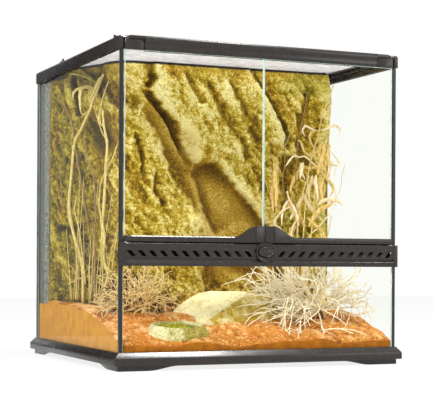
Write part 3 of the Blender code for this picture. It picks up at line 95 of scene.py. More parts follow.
def node(tree, kind, inputs=None, out=0, stops=(), **settings):
    """Adds a shader node with its settings, inputs and (place, hex colour) stops, and gives one output."""
    made = tree.nodes.new("ShaderNode" + kind)
    for key, value in settings.items():
        setattr(made, key, value)
    plug(tree, made, inputs or {})
    if stops:
        elements = made.color_ramp.elements
        while len(elements) < len(stops):
            elements.new(0.5)
        for element, (place, hex_colour) in zip(elements, stops):
            element.position = place
            element.color = linear(hex_colour)
    return made.outputs[out]


def pattern(tree, size, detail=3.0, roughness=0.6, kind="TexNoise", stretch=None):
    """A texture whose lumps, or cells, are about `size` millimetres, in object space."""
    where = node(tree, "TexCoord", out="Object")
    if stretch is not None:
        where = node(tree, "Mapping", {"Vector": where, "Scale": stretch})
    inputs = {"Vector": where, "Scale": 1.0 / (size * MM), "Detail": detail, "Roughness": roughness}
    return node(tree, kind, inputs)


def new_look(name, roughness, size=None, stops=(), detail=3.0, **values):
    """A material, its tree and its Principled shader.

    Where a size is given, the colour runs through the stops by a noise whose lumps are that many millimetres.
    """
    look = bpy.data.materials.new(name)
    look.use_nodes = True
    tree = look.node_tree
    shader = tree.nodes["Principled BSDF"]
    inputs = {key.replace("_", " "): value for key, value in values.items()}
    if size is not None:
        inputs["Base Color"] = node(tree, "ValToRGB", {"Fac": pattern(tree, size, detail)}, stops=stops)
    plug(tree, shader, {"Roughness": roughness, **inputs})
    return look, tree, shader


def rays(tree, *kinds):
    """1 for rays of one of these kinds, otherwise 0."""
    found = node(tree, "LightPath", out=kinds[0])
    for kind in kinds[1:]:
        found = node(tree, "Math", {0: found, 1: node(tree, "LightPath", out=kind)}, operation="MAXIMUM")
    return found


def to_the_eye(tree):
    """1 for rays that the camera sees directly, in a reflection or through glass."""
    return rays(tree, "Is Camera Ray", "Is Transmission Ray", "Is Glossy Ray")


# Materials


def plastic_look():
    """Black ABS, spark-eroded in the mould: a fine even grain with a soft sheen."""
    look, tree, shader = new_look("black_abs_moulded", 0.3, 9.0, ((0.3, "1C1714"), (0.7, "27211D")), IOR=1.45)
    worn = node(tree, "MapRange", {"Value": pattern(tree, 24.0), "To Min": 0.2, "To Max": 0.34})
    eroded = node(tree, "Bump", {"Height": pattern(tree, 0.5, 2.0), "Distance": 0.03 * MM, "Strength": 0.4})
    plug(tree, shader, {"Roughness": worn, "Normal": eroded})
    return look


def silicone_look():
    """Black silicone rubber, laid as a bead: smooth and slightly wavy."""
    look, tree, shader = new_look("black_silicone_rubber", 0.3, 6.0, ((0.3, "110F10"), (0.7, "1B1918")))
    waves = node(tree, "Bump", {"Height": pattern(tree, 5.0), "Distance": 0.15 * MM, "Strength": 0.5})
    plug(tree, shader, {"Normal": waves})
    return look


def glass_look():
    """Clear glass with a coating against reflections. Light for shadows and for the contents passes straight
    through it.
    """
    tint = linear("FDFEFB")
    values = {"IOR": 1.06, "Transmission_Weight": 1.0, "Base_Color": tint}
    look, tree, shader = new_look("float_glass_clear", 0.0, **values)
    plain = rays(tree, "Is Shadow Ray", "Is Diffuse Ray")
    clear = node(tree, "BsdfTransparent", {"Color": tint})
    both = node(tree, "MixShader", {0: plain, 1: shader.outputs["BSDF"], 2: clear})
    plug(tree, tree.nodes["Material Output"], {"Surface": both})
    return look


def glass_edge_look(name, low, high):
    """Ground edge of float glass, which gathers light: pale green in front, grey where it is in the seals."""
    return new_look(name, 0.2, 30.0, ((0.3, low), (0.7, high)))[0]


def steel_look():
    """Stainless steel wire, drawn: a dull pale grey."""
    return new_look("stainless_wire", 0.55, 12.0, ((0.3, "C8C6C8"), (0.7, "ECEAEC")), Metallic=0.55)[0]


def rock_look():
    """Carved foam, painted olive and ochre, with painted highlight on the crests, painted shade in the
    hollows and pits, and a dark painted shadow along the top.
    """
    look, tree, shader = new_look("painted_foam_rock", 0.85, Specular_IOR_Level=0.25)
    names = ("painted_shade_and_highlight", "smooth", "moss", "rim")
    painted_shade_and_highlight, smooth, moss, rim = (node(tree, "Attribute", out="Fac", attribute_name=name) for name in names)
    fine = pattern(tree, 2.8, 4.0, 0.75)
    inputs = {"Value": fine, "From Min": 0.3, "From Max": 0.7, "To Min": -0.27, "To Max": 0.27}
    # Paleness from the attribute: painted shade in the hollows and painted highlight on the crests
    level = node(tree, "Math", {0: painted_shade_and_highlight, 1: node(tree, "MapRange", inputs)}, operation="ADD")
    stops = ((0.06, "3A2A04"), (0.26, "7C5E0A"), (0.45, "AE8E1A"), (0.62, "CEB43A"), (0.84, "F8ECA6"))
    rough = node(tree, "ValToRGB", {"Fac": level}, stops=stops)
    stops = ((0.08, "4A3408"), (0.34, "8A6816"), (0.58, "B4922C"), (0.9, "E8D68C"))
    even = node(tree, "ValToRGB", {"Fac": level}, stops=stops)
    mossy = node(tree, "ValToRGB", {"Fac": level}, stops=((0.1, "383404"), (0.45, "847A12"), (0.8, "C4B640")))
    broad = pattern(tree, 40.0)
    warm = node(tree, "MapRange", {"Value": broad, "From Min": 0.5, "From Max": 0.75, "To Max": 0.35})
    pits = pattern(tree, 3.4, 0.0, 0.5, "TexVoronoi")
    inputs = {"Value": pits, "From Min": 0.12, "From Max": 0.4, "To Min": 1.0, "To Max": 0.0}
    pitted = node(tree, "Math", {0: 1.0, 1: smooth}, operation="SUBTRACT")
    hole = node(tree, "Math", {0: node(tree, "MapRange", inputs), 1: pitted}, operation="MULTIPLY")
    # Pits are darkened towards brown: painted shade in the pits
    darker = node(tree, "Math", {0: hole, 1: 0.55}, operation="MULTIPLY")
    colour = node(tree, "MixRGB", {"Fac": smooth, "Color1": rough, "Color2": even})
    colour = node(tree, "MixRGB", {"Fac": moss, "Color1": colour, "Color2": mossy})
    inputs = {"Fac": warm, "Color1": colour, "Color2": linear("B98620")}
    colour = node(tree, "MixRGB", inputs, blend_type="OVERLAY")
    colour = node(tree, "MixRGB", {"Fac": darker, "Color1": colour, "Color2": linear("3E2A08")})
    # A dark band along the top edge: a painted shadow between the rock's top and the lid
    colour = node(tree, "MixRGB", {"Fac": rim, "Color1": colour, "Color2": linear("17120C")})
    grains = node(tree, "Bump", {"Height": fine, "Distance": 2.4 * MM, "Strength": 1.0})
    sunk = node(tree, "Math", {0: 1.0, 1: hole}, operation="SUBTRACT")
    relief = node(tree, "Bump", {"Height": sunk, "Distance": 1.2 * MM, "Strength": 0.8, "Normal": grains})
    plug(tree, shader, {"Base Color": colour, "Normal": relief})
    return look


def foam_side_look():
    """Cut side of the foam slab: open-celled and speckled in front, a smooth grey-green skin at the back."""
    look, tree, shader = new_look("foam_cut_side", 0.8)
    stops = ((0.4, "2E302C"), (0.5, "6A6B66"), (0.6, "A8A8A4"))
    cells = node(tree, "ValToRGB", {"Fac": pattern(tree, 2.6, 2.0, 0.7)}, stops=stops)
    skin = node(tree, "ValToRGB", {"Fac": pattern(tree, 12.0)}, stops=((0.3, "4A4C3E"), (0.7, "66685A")))
    depth = node(tree, "SeparateXYZ", {"Vector": node(tree, "TexCoord", out="Object")}, out="Y")
    rear = node(tree, "MapRange", {"Value": depth, "From Min": 0.186, "From Max": 0.192})
    colour = node(tree, "MixRGB", {"Fac": rear, "Color1": cells, "Color2": skin})
    holes = pattern(tree, 2.5, 0.0, 0.5, "TexVoronoi")
    relief = node(tree, "Bump", {"Height": holes, "Distance": 0.6 * MM, "Strength": 1.0})
    plug(tree, shader, {"Base Color": colour, "Normal": relief})
    return look


def sand_look():
    """Loose orange sand: pale peach grains on top, paler on lumps and deep orange in the hollows as painted
    highlight and painted shade, darker where the front glass cuts it, and painted lighter on the left cut
    face, as if lit from the left.
    """
    look, tree, shader = new_look("orange_sand", 0.9, Specular_IOR_Level=0.2)
    normal = node(tree, "TexCoord", out="Normal")
    upward = node(tree, "SeparateXYZ", {"Vector": normal}, out="Z")
    sideways = node(tree, "SeparateXYZ", {"Vector": normal}, out="X")
    top = node(tree, "MapRange", {"Value": upward, "From Min": 0.35, "From Max": 0.7})
    # Faces turned to the left get a lighter colour than front faces: painted light from the left
    left = node(tree, "MapRange", {"Value": sideways, "From Min": -0.5, "From Max": -0.8})
    painted_shade_and_highlight = node(tree, "Attribute", out="Fac", attribute_name="painted_shade_and_highlight")
    fine = pattern(tree, 1.6, 3.0, 0.7)
    inputs = {"Value": fine, "From Min": 0.3, "From Max": 0.7, "To Min": -0.22, "To Max": 0.22}
    # The attribute's paleness is painted light: highlight on lumps, shade in the hollows
    level = node(tree, "Math", {0: painted_shade_and_highlight, 1: node(tree, "MapRange", inputs)}, operation="ADD")
    stops = ((0.1, "84420C"), (0.34, "AC6818"), (0.55, "C48234"), (0.75, "D89E58"), (0.95, "F0CA94"))
    dry = node(tree, "ValToRGB", {"Fac": level}, stops=stops)
    moist = node(tree, "MixRGB", {"Fac": 0.6, "Color1": dry, "Color2": linear("C47420")})
    inputs = {"Value": pattern(tree, 55.0, 2.0), "From Min": 0.46, "From Max": 0.62, "To Max": 0.9}
    damp = node(tree, "MapRange", inputs)
    loose = node(tree, "MixRGB", {"Fac": damp, "Color1": dry, "Color2": moist})
    stops = ((0.3, "7A4206"), (0.55, "9C5C0C"), (0.8, "B06E16"))
    front = node(tree, "ValToRGB", {"Fac": pattern(tree, 14.0, 4.0)}, stops=stops)
    stops = ((0.3, "BA7A1C"), (0.55, "CC8E2A"), (0.8, "D89E3A"))
    side = node(tree, "ValToRGB", {"Fac": pattern(tree, 20.0)}, stops=stops)
    cut_faces_with_painted_light = node(tree, "MixRGB", {"Fac": left, "Color1": front, "Color2": side})
    colour = node(tree, "MixRGB", {"Fac": top, "Color1": cut_faces_with_painted_light, "Color2": loose})
    grains = node(tree, "Bump", {"Height": fine, "Distance": 0.5 * MM, "Strength": 0.7})
    plug(tree, shader, {"Base Color": colour, "Normal": grains})
    return look


def grit_look():
    """Coarse grains of sand, worn round: peach, with orange and nearly white ones."""
    stops = ((0.3, "C0702C"), (0.5, "E8A766"), (0.7, "FADCB4"))
    return new_look("sand_grit", 0.85, 7.0, stops, 2.0)[0]


def stone_look(name, shadow, moss, body, light, shaded_moss_side):
    """Moulded resin stone: painted pale as a highlight on the side towards the key lamp, painted darker and
    mossy as shade on the side away from it, algae in its bowl.
    """
    look, tree, shader = new_look(name, 0.75, Specular_IOR_Level=0.3)
    sideways = node(tree, "SeparateXYZ", {"Vector": node(tree, "TexCoord", out="Normal")}, out="X")
    # Faces turned away from the key lamp are painted darker and mossy, as shade; faces towards it pale, as
    # highlight
    away = node(tree, "MapRange", {"Value": sideways, "From Min": shaded_moss_side, "From Max": shaded_moss_side + 0.5})
    fine = pattern(tree, 3.2, 4.0, 0.7)
    broad = pattern(tree, 22.0)
    pale = node(tree, "ValToRGB", {"Fac": fine}, stops=((0.3, body), (0.62, light)))
    dark = node(tree, "ValToRGB", {"Fac": fine}, stops=((0.32, shadow), (0.6, moss)))
    inputs = {"Value": broad, "From Min": 0.35, "From Max": 0.65, "To Min": -0.35, "To Max": 0.35}
    blotch = node(tree, "MapRange", inputs)
    amount = node(tree, "Math", {0: away, 1: blotch}, operation="ADD", use_clamp=True)
    colour = node(tree, "MixRGB", {"Fac": amount, "Color1": pale, "Color2": dark})
    algae = node(tree, "ValToRGB", {"Fac": broad}, stops=((0.4, "6E7410"), (0.55, "B4AE1C"), (0.7, "E4D42C")))
    bowl = node(tree, "Attribute", out="Fac", attribute_name="bowl")
    colour = node(tree, "MixRGB", {"Fac": bowl, "Color1": colour, "Color2": algae})
    grains = node(tree, "Bump", {"Height": fine, "Distance": 0.9 * MM, "Strength": 0.8})
    relief = node(tree, "Bump", {"Height": broad, "Distance": 3.0 * MM, "Strength": 0.5, "Normal": grains})
    plug(tree, shader, {"Base Color": colour, "Normal": relief})
    return look


def water_look():
    """Still water: a smooth gloss, tinted yellow-green by the dish."""
    look, tree, shader = new_look("water_still", 0.04, 18.0, ((0.35, "8E8A1C"), (0.65, "D8CC33")), IOR=1.33)
    ripples = node(tree, "Bump", {"Height": pattern(tree, 9.0, 1.0), "Distance": 0.3 * MM, "Strength": 0.3})
    plug(tree, shader, {"Normal": ripples})
    return look


def stalk_look(name, dark, body, light, roughness=0.6):
    """Dried plant stalk or leaf: matt, with fibres along the stalk and paler and darker patches."""
    look, tree, shader = new_look(name, roughness, Specular_IOR_Level=0.35)
    fibre = pattern(tree, 6.0, 4.0, 0.7, stretch=(4.0, 4.0, 0.6))
    colour = node(tree, "ValToRGB", {"Fac": fibre}, stops=((0.3, dark), (0.5, body), (0.68, light)))
    ribs = node(tree, "Bump", {"Height": fibre, "Distance": 0.3 * MM, "Strength": 0.5})
    plug(tree, shader, {"Base Color": colour, "Normal": ribs})
    return look


def floor_look():
    """White studio sweep: it shows white and keeps a part of the object's shadow."""
    stops = ((0.3, "F4F4F4"), (0.7, "F8F8F8"))
    look, tree, shader = new_look("studio_floor", 0.9, 400.0, stops, Specular_IOR_Level=0.1)
    share = node(tree, "Math", {0: to_the_eye(tree), 1: 0.84}, operation="MULTIPLY")
    white = node(tree, "Emission", {"Color": linear("FFFFFF"), "Strength": 1.0})
    both = node(tree, "MixShader", {0: share, 1: shader.outputs["BSDF"], 2: white})
    plug(tree, tree.nodes["Material Output"], {"Surface": both})
    return look


def flag_look():
    """Dark grey cloth of a studio flag, which only reflections show."""
    stops = ((0.3, "3E3E40"), (0.7, "4A4A4C"))
    return new_look("studio_flag_cloth", 0.95, 30.0, stops, Specular_IOR_Level=0.1)[0]


# Meshes


def mesh_piece(name, points, quads, look, body, slot, replaced=(), sharp=None, values=None):
    """One object from points in millimetres and quads. `values` are numbers for each point, by name."""
    points = np.asarray(points, np.float32).reshape(-1, 3) * MM
    quads = np.asarray(quads, np.int32).reshape(-1, 4)
    mesh = bpy.data.meshes.new(name)
    mesh.vertices.add(len(points))
    mesh.vertices.foreach_set("co", points.ravel())
    mesh.loops.add(quads.size)
    mesh.loops.foreach_set("vertex_index", quads.ravel())
    mesh.polygons.add(len(quads))
    mesh.polygons.foreach_set("loop_start", np.arange(0, quads.size, 4, dtype=np.int32))
    mesh.update(calc_edges=True)
    for key, numbers in (values or {}).items():
        layer = mesh.attributes.new(key, "FLOAT", "POINT")
        layer.data.foreach_set("value", np.asarray(numbers, np.float32).ravel())
    mesh.validate()
    mesh.shade_smooth()
    if sharp is not None:
        mesh.set_sharp_from_angle(angle=math.radians(sharp))
    mesh.materials.append(look)
    piece = bpy.data.objects.new(name, mesh)
    bpy.context.scene.collection.objects.link(piece)
    if body is None:
        return piece
    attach(piece, body)
    if replaced:
        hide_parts(*replaced)
    return piece


def sheet_quads(rows, columns, wrap=False):
    """Quads of a sheet of points: row by row, and round again to the first column where it wraps."""
    index = np.arange(rows * columns).reshape(rows, columns)
    if wrap:
        index = np.concatenate([index, index[:, :1]], axis=1)
    corners = [index[:-1, :-1], index[1:, :-1], index[1:, 1:], index[:-1, 1:]]
    return np.stack(corners, axis=-1).reshape(-1, 4)


def joined(*parts):
    """Several (points, quads) as one."""
    points, quads, start = [], [], 0
    for some_points, some_quads in parts:
        some_points = np.asarray(some_points, float).reshape(-1, 3)
        points.append(some_points)
        quads.append(np.asarray(some_quads) + start)
        start += len(some_points)
    return np.concatenate(points), np.concatenate(quads)


def unit(vectors):
    """Vectors over their own lengths."""
    return vectors / np.linalg.norm(vectors, axis=-1, keepdims=True)


def tubes(paths, wide, thin=None, sides=4, guide=(0.31, 0.94, 0.13)):
    """Closed tubes along many paths at once, as points and quads.

    Point k of a ring of n round a point p is p + wide cos(2 pi k / n) a + thin sin(2 pi k / n) b. With the
    tangent w, a is w x guide at unit length and b is w x a. A hair of rise keeps w from being 0.
    """
    paths = np.asarray(paths, float)
    wide = np.broadcast_to(np.asarray(wide, float), paths.shape[:2])
    thin = wide if thin is None else np.broadcast_to(np.asarray(thin, float), paths.shape[:2])
    way = unit(np.gradient(paths, axis=1) + np.array((0.0, 0.0, 1e-6)))
    across = unit(np.cross(way, np.asarray(guide)))
    upward = np.cross(way, across)
    turn = 2 * np.pi * np.arange(sides) / sides
    ring = wide[..., None, None] * np.cos(turn)[:, None] * across[:, :, None]
    ring = ring + thin[..., None, None] * np.sin(turn)[:, None] * upward[:, :, None]
    points = paths[:, :, None] + ring
    count, steps = paths.shape[:2]
    index = np.arange(count * steps * sides).reshape(count, steps, sides)
    after = np.roll(index, -1, axis=2)
    walls = np.stack([index[:, :-1], after[:, :-1], after[:, 1:], index[:, 1:]], axis=-1).reshape(-1, 4)
    caps = []
    for k in range(1, sides - 2, 2):
        caps.append(index[:, 0][:, [0, k + 2, k + 1, k]])
        caps.append(index[:, -1][:, [0, k, k + 1, k + 2]])
    return points.reshape(-1, 3), np.concatenate([walls, *caps])


def curve_through(points, steps):
    """Catmull-Rom curve through points, as `steps` points."""
    points = np.asarray(points, float)
    padded = np.concatenate([2 * points[:1] - points[1:2], points, 2 * points[-1:] - points[-2:-1]])
    place = np.linspace(0, len(points) - 1 - 1e-6, steps)
    i = place.astype(int)
    t = (place - i)[:, None]
    a, b, c, d = padded[i], padded[i + 1], padded[i + 2], padded[i + 3]
    return 0.5 * (2 * b + (c - a) * t + (2 * a - 5 * b + 4 * c - d) * t**2 + (3 * b - a - 3 * c + d) * t**3)


# Noise and smooth forms


def lattice(x, y, z, seed):
    """A fixed random number from -1 to 1 for each whole-number point."""
    mixed_up = (x * 374761393 + y * 668265263 + z * 1440662683 + seed * 1274126177) & 0xFFFFFFFF
    mixed_up = ((mixed_up ^ (mixed_up >> 13)) * 1103515245) & 0xFFFFFFFF
    return ((mixed_up ^ (mixed_up >> 16)) & 0xFFFFFF) / 0x7FFFFF - 1.0


def noise(x, y, z=0.0, seed=1):
    """Smooth noise from -1 to 1 that changes over a length of 1: lattice values, eased by 3 t^2 - 2 t^3."""
    x, y, z = np.broadcast_arrays(np.asarray(x, float), y, z)
    ix, iy, iz = (np.floor(v).astype(np.int64) for v in (x, y, z))
    tx, ty, tz = ((v - i) ** 2 * (3 - 2 * (v - i)) for v, i in ((x, ix), (y, iy), (z, iz)))
    total = 0.0
    for dx in (0, 1):
        for dy in (0, 1):
            for dz in (0, 1):
                share = (tx if dx else 1 - tx) * (ty if dy else 1 - ty) * (tz if dz else 1 - tz)
                total = total + share * lattice(ix + dx, iy + dy, iz + dz, seed)
    return total


def layered(x, y, layers):
    """Sum of noises. A layer is its strength, its lengths along x and y, and its seed."""
    return sum(strength * noise(x / long, y / wide, seed=seed) for strength, long, wide, seed in layers)


def eased(value, low=0.0, high=1.0):
    """0 below low, 1 above high, eased between."""
    t = np.clip((value - low) / (high - low), 0, 1)
    return t * t * (3 - 2 * t)


def mound(across, up, power=2):
    """exp(-across^p - up^p): 1 in the middle, nearly 0 past 2, flatter on top for a higher power p."""
    return np.exp(-(across**power) - up**power)


def blurred(values, reach):
    """Mean over a square of 2 reach + 1 points."""
    for axis in (0, 1):
        padding = [(reach, reach) if a == axis else (0, 0) for a in (0, 1)]
        total = np.cumsum(np.pad(values, padding, mode="edge"), axis=axis)
        total = np.insert(total, 0, 0.0, axis=axis)
        high = np.take(total, range(2 * reach + 1, total.shape[axis]), axis=axis)
        low = np.take(total, range(0, total.shape[axis] - 2 * reach - 1), axis=axis)
        values = (high - low) / (2 * reach + 1)
    return values


# Rock background: corners of its face in plan, from the left glass to the right glass
ROCK_PLAN = np.array(((-220.4, 160.0), (-180.0, 65.0), (-151.0, -2.0), (0.0, 3.0), (220.4, 11.0)))
ROCK_ROUNDING = 40.0
ROCK_LINE_POINTS = 1097
ROCK_LENGTH = 547.8
ROCK_TOP = 474.4
SLAB_THICKNESS = 14

# The top stands back from the panes, above its shoulder, by sloping sides and a rounded right-hand corner
ROCK_SHOULDER = 457.0
CREST_FOOT, CREST_HEAD = 206.0, 200.0
CREST_LEVELS = (ROCK_SHOULDER, ROCK_SHOULDER + 1.0, ROCK_TOP)
CREST_ROUNDING = 9.0
CREST_CORNER = 8.0

# The face leans out between two heights, by a reach that depends on the place, and its right end stands back
LEAN_LEVELS = (290.0, 470.0)
LEAN_PLACES = (0.0, 140.0, 190.0, ROCK_LENGTH)
LEAN_REACHES = (8.0, 10.0, 31.0, 44.0)
RIGHT_END_LEAN = 20.5
RIGHT_END_GAP = 2.5
LEFT_END_GAP = 0.3

# A place on the leaning face is seen where this much further along, and higher, was seen on the plan line
SIGHT_SHIFT = 0.47
SIGHT_RISE = 0.00039

# Edges of the great masses to the right and left of the hollow, how far they rise and how wide they slope.
# The right-hand edge slopes wider at the hollow's height
RIGHT_EDGE = (
    (226, 490), (234, 452), (226, 434), (242, 410), (266, 380), (275, 357), (290, 331), (306, 314),
    (339, 311), (371, 282), (409, 242), (434, 218), (455, 180), (470, 100),
)
LEFT_EDGE = (
    (150, 440), (186, 420), (222, 418), (249, 360), (273, 317), (314, 251), (325, 215), (337, 150), (345, 90),
)
RIGHT_RISE, RIGHT_SLOPE = 17.0, 9.0
LEFT_RISE, LEFT_SLOPE = 9.0, 22.0
HOLLOW_DEPTH = 9.0
HOLLOW_HEIGHT, HOLLOW_HALF_HEIGHT, HOLLOW_SLOPE = 350, 30, 26.0

# Share of the edges' wander that the right-hand edge and the creases follow, and the share of its way over
# which a crease begins and ends
WANDER_SHARE = 0.6
CREASE_END = 0.12

# The relief fades over these lengths at the face's left and right ends. The right end comes forward again,
# from a place along the line. At the top the relief keeps a share, and it is whole 40 below the top
LEFT_FADE, RIGHT_FADE = 14, 20
END_RISE, END_RISE_FROM = 13.0, 490
TOP_SHARE = 0.4
TOP_FADE = (-6, 40)

# Creases: points, width, depth, and how much higher the side to the right of its way stands
CREASES = (
    (((222, 436), (242, 410), (266, 380), (275, 357), (290, 331), (305, 313)), 5.0, 12.0, 0.0),
    (((305, 313), (322, 276), (331, 231), (348, 199)), 8.0, 6.0, 4.0),
    (((232, 462), (235, 449), (226, 436)), 5.0, 6.0, 0.0),
    (((200, 366), (214, 341), (216, 315), (214, 296)), 3.4, 5.0, 2.0),
    (((234, 302), (237, 278), (243, 261), (252, 246)), 3.4, 5.0, 2.0),
    (((395, 485), (407, 471), (422, 450), (433, 434), (446, 412), (461, 390), (466, 370), (463, 342)),
     5.5, 9.0, 7.0),
    (((463, 342), (462, 300), (469, 246)), 11.0, 6.0, 3.0),
    (((323, 462), (338, 422), (363, 383), (388, 348), (395, 320)), 8.0, 4.0, 3.0),
    (((360, 468), (380, 425), (403, 387), (420, 350)), 8.0, 4.0, 3.0),
    (((288, 470), (300, 440), (312, 410)), 7.0, 3.5, 2.0),
    (((509, 462), (502, 425), (490, 389), (492, 330)), 8.0, 5.0, 3.0),
    (((70, 466), (76, 441), (79, 419), (84, 392)), 6.5, 14.0, 4.0),
    (((40, 330), (70, 322), (100, 330)), 7.0, 4.0, -2.0),
    (((20, 214), (60, 208), (100, 216)), 7.0, 5.0, -2.0),
    (((330, 170), (380, 150), (430, 140)), 9.0, 4.0, -2.0),
)

# Bulges: place along the line, height, half width, half height, rise
BULGES = (
    (200, 455, 30, 30, 4),
    (128, 424, 40, 26, 9),
    (140, 362, 34, 36, -13),
    (285, 215, 52, 30, 10),
    (236, 340, 24, 40, 5),
    (350, 420, 60, 50, 5),
    (370, 345, 45, 35, 7),
    (500, 300, 45, 90, 5),
    (430, 320, 30, 50, 5),
    (60, 260, 46, 90, 6),
    (390, 240, 34, 20, -4),
)

# Smooth, unpitted places: place along the line, height, half width, half height. Then the heights between
# which smoothness begins and ends, and the share that it takes from the fine noise
SMOOTH_PLACES = ((140, 362, 34, 36), (296, 350, 16, 34))
SMOOTH_FROM = (110, 150)
SMOOTH_TO = (398, 422)
SMOOTHING = 0.85

# Direction in which the carving falls to the right: shares along the line and down
FALL_ALONG, FALL_DOWN = 0.55, 0.835

# Noise layers: strength, two lengths, seed. The edges' wander and the crumbs change along the line and up,
# the others across that fall and along it
EDGE_WANDER = ((3.0, 9, 9, 31), (1.5, 4, 4, 32))
BROAD_RELIEF = ((5.5, 30, 80, 3),)
FOLDS = ((1.0, 15, 34, 13),)
LUMPS = ((1.6, 8, 15, 5), (1.2, 5, 8, 7))
CRUMBS = ((1.3, 3.6, 3.6, 9), (0.8, 2.2, 2.2, 11))

# Painted shade in the hollows and painted highlight on the crests: reach in grid points over which a height
# is set against its mean, and the weight
HOLLOW_REACHES = ((4, 0.07), (11, 0.05), (30, 0.02))

# Painted light, paler where a lit face shows and where a hollow's shade is lifted: place along the line,
# height, shift along for each step down, half width, half height, gain
PAINTED_LIGHT_PLACES = ((369.5, 255, 0.9, 34, 44, 0.2), (293.25, 349, 0.25, 13, 33, 0.45))


def rock_line(run, stand_off=0.0):
    """Points (x, y) at length `run` along the rock's plan line, `stand_off` in front, and the line's length.

    Each point is the mean of the plan's points within half of ROCK_ROUNDING before and after it. Past its
    ends the plan goes on, turned round its end point.
    """
    lengths = np.concatenate([[0], np.cumsum(np.linalg.norm(np.diff(ROCK_PLAN, axis=0), axis=1))])
    fine = np.linspace(0, lengths[-1], ROCK_LINE_POINTS)
    reach = int(ROCK_ROUNDING / 2 / (fine[1] - fine[0]))
    line = []
    for axis in (0, 1):
        way = np.interp(fine, lengths, ROCK_PLAN[:, axis])
        way = np.concatenate([2 * way[0] - way[reach:0:-1], way, 2 * way[-1] - way[-2 : -reach - 2 : -1]])
        line.append(np.convolve(way, np.ones(2 * reach + 1) / (2 * reach + 1), "valid"))
    tangent = np.gradient(np.array(line), axis=1)
    tangent /= np.linalg.norm(tangent, axis=0)
    x = np.interp(run, fine, line[0]) + stand_off * np.interp(run, fine, tangent[1])
    y = np.interp(run, fine, line[1]) - stand_off * np.interp(run, fine, tangent[0])
    return x, y, lengths[-1]


def off_line(points, s, z):
    """Signed distance from a polyline, positive to the right of its way, and the share of the way along."""
    best = np.full(s.shape, 1e9)
    signed = np.zeros(s.shape)
    along = np.zeros(s.shape)
    points = np.asarray(points, float)
    for i, (start, end) in enumerate(zip(points, points[1:])):
        ds, dz = end - start
        share = np.clip(((s - start[0]) * ds + (z - start[1]) * dz) / (ds * ds + dz * dz), 0, 1)
        gap = np.hypot(s - start[0] - share * ds, z - start[1] - share * dz)
        side = -np.sign(ds * (z - start[1]) - dz * (s - start[0]))
        nearer = gap < best
        best = np.where(nearer, gap, best)
        signed = np.where(nearer, gap * side, signed)
        along = np.where(nearer, (i + share) / (len(points) - 1), along)
    return signed, along


def rock_lean(s, z):
    """How far the upper face leans out over the plan line: its reach at s, eased over the height."""
    return np.interp(s, LEAN_PLACES, LEAN_REACHES) * eased(z, *LEAN_LEVELS)


def rock_shape(s, z):
    """Relief of the rock's face in front of its plan line, and how smooth it is.

    The two masses are steps eased over their edges. A crease of width w and depth d lowers the face at
    distance q, to the right of its way, by d exp(-(q/w)^2) and raises it by its step times tanh(q/w), which
    fades past 4 w. Bulges are mounds. Noise runs along lines that fall to the right, and is weaker on smooth
    places.
    """
    lean, end, top = rock_lean(s, z), s, z
    s = s + SIGHT_SHIFT * lean
    z = z + SIGHT_RISE * lean * (z - CAMERA_PLACE[2])
    sideways = layered(s, z, EDGE_WANDER)
    slope = RIGHT_SLOPE + HOLLOW_SLOPE * mound(0, (z - HOLLOW_HEIGHT) / HOLLOW_HALF_HEIGHT)
    right_mass = eased((WANDER_SHARE * sideways - off_line(RIGHT_EDGE, s, z)[0]) / slope)
    left_mass = eased((off_line(LEFT_EDGE, s, z)[0] + sideways) / LEFT_SLOPE)
    relief = RIGHT_RISE * right_mass + LEFT_RISE * left_mass - HOLLOW_DEPTH
    for points, width, depth, step in CREASES:
        gap, along = off_line(points, s + WANDER_SHARE * sideways, z)
        ends = eased(along, 0.0, CREASE_END) * eased(1 - along, 0.0, CREASE_END)
        raised = step * np.tanh(gap / width) * mound(gap / (width * 4), 0)
        relief += ends * (raised - depth * mound(gap / width, 0))
    for place, height, half_width, half_height, rise in BULGES:
        relief += rise * mound((s - place) / half_width, (z - height) / half_height)
    smooth = (1 - right_mass) * (1 - left_mass)
    for place, height, half_width, half_height in SMOOTH_PLACES:
        round_it = ((s - place) / half_width) ** 2 + ((z - height) / half_height) ** 2
        smooth = np.maximum(smooth, mound(round_it, 0))
    smooth *= eased(z, *SMOOTH_FROM) * (1 - SMOOTHING * eased(z, *SMOOTH_TO))
    down = s * FALL_ALONG - z * FALL_DOWN
    across = s * FALL_DOWN + z * FALL_ALONG
    relief += layered(across, down, BROAD_RELIEF)
    folds = 1.0 - 2.0 * np.abs(layered(across, down, FOLDS))
    lumps = 1.5 * folds + layered(across, down, LUMPS)
    relief += (lumps + layered(s, z, CRUMBS)) * (1 - SMOOTHING * smooth)
    relief *= eased(end, 0, LEFT_FADE) * eased(ROCK_LENGTH - end, 0, RIGHT_FADE)
    relief += END_RISE * eased(end, END_RISE_FROM, ROCK_LENGTH)
    return relief * (TOP_SHARE + (1 - TOP_SHARE) * eased(ROCK_TOP - top, *TOP_FADE)) + lean, smooth


def rock_paint(s, z, relief):
    """How pale (1) or dark (0) the paint is, and how mossy.

    The first is 0.5 plus 0.38 tanh of the height over its blurred means: painted shade in the hollows and
    painted highlight on the crests. It is less on the left-hand wing and more on the places of painted light.
    Moss is a noise on the right, and another one over the left-hand wing.
    """
    shade = sum((relief - blurred(relief, reach)) * weight for reach, weight in HOLLOW_REACHES)
    painted_shade_and_highlight = np.clip(0.5 + 0.38 * np.tanh(shade / 0.36), 0, 1)
    right_part, left_part, left_wing = eased(s, 330, 480), 1 - eased(s, 90, 190), 1 - eased(s, 110, 200)
    right_moss = eased(noise(s / 60, z / 45, seed=17), 0.1, 0.6) * right_part * 0.7
    left_moss = (0.5 + 0.3 * noise(s / 30, z / 30, seed=19)) * left_part
    painted_shade_and_highlight = painted_shade_and_highlight - 0.16 * left_wing
    # Painted light: paler patches where a lit face shows and where the shade of a hollow is lifted
    for place, height, shift, half_width, half_height, gain in PAINTED_LIGHT_PLACES:
        across = (s - place - shift * (height - z)) / half_width
        painted_shade_and_highlight += gain * mound(across, (z - height) / half_height, 4)
    return painted_shade_and_highlight, np.maximum(right_moss, left_moss)


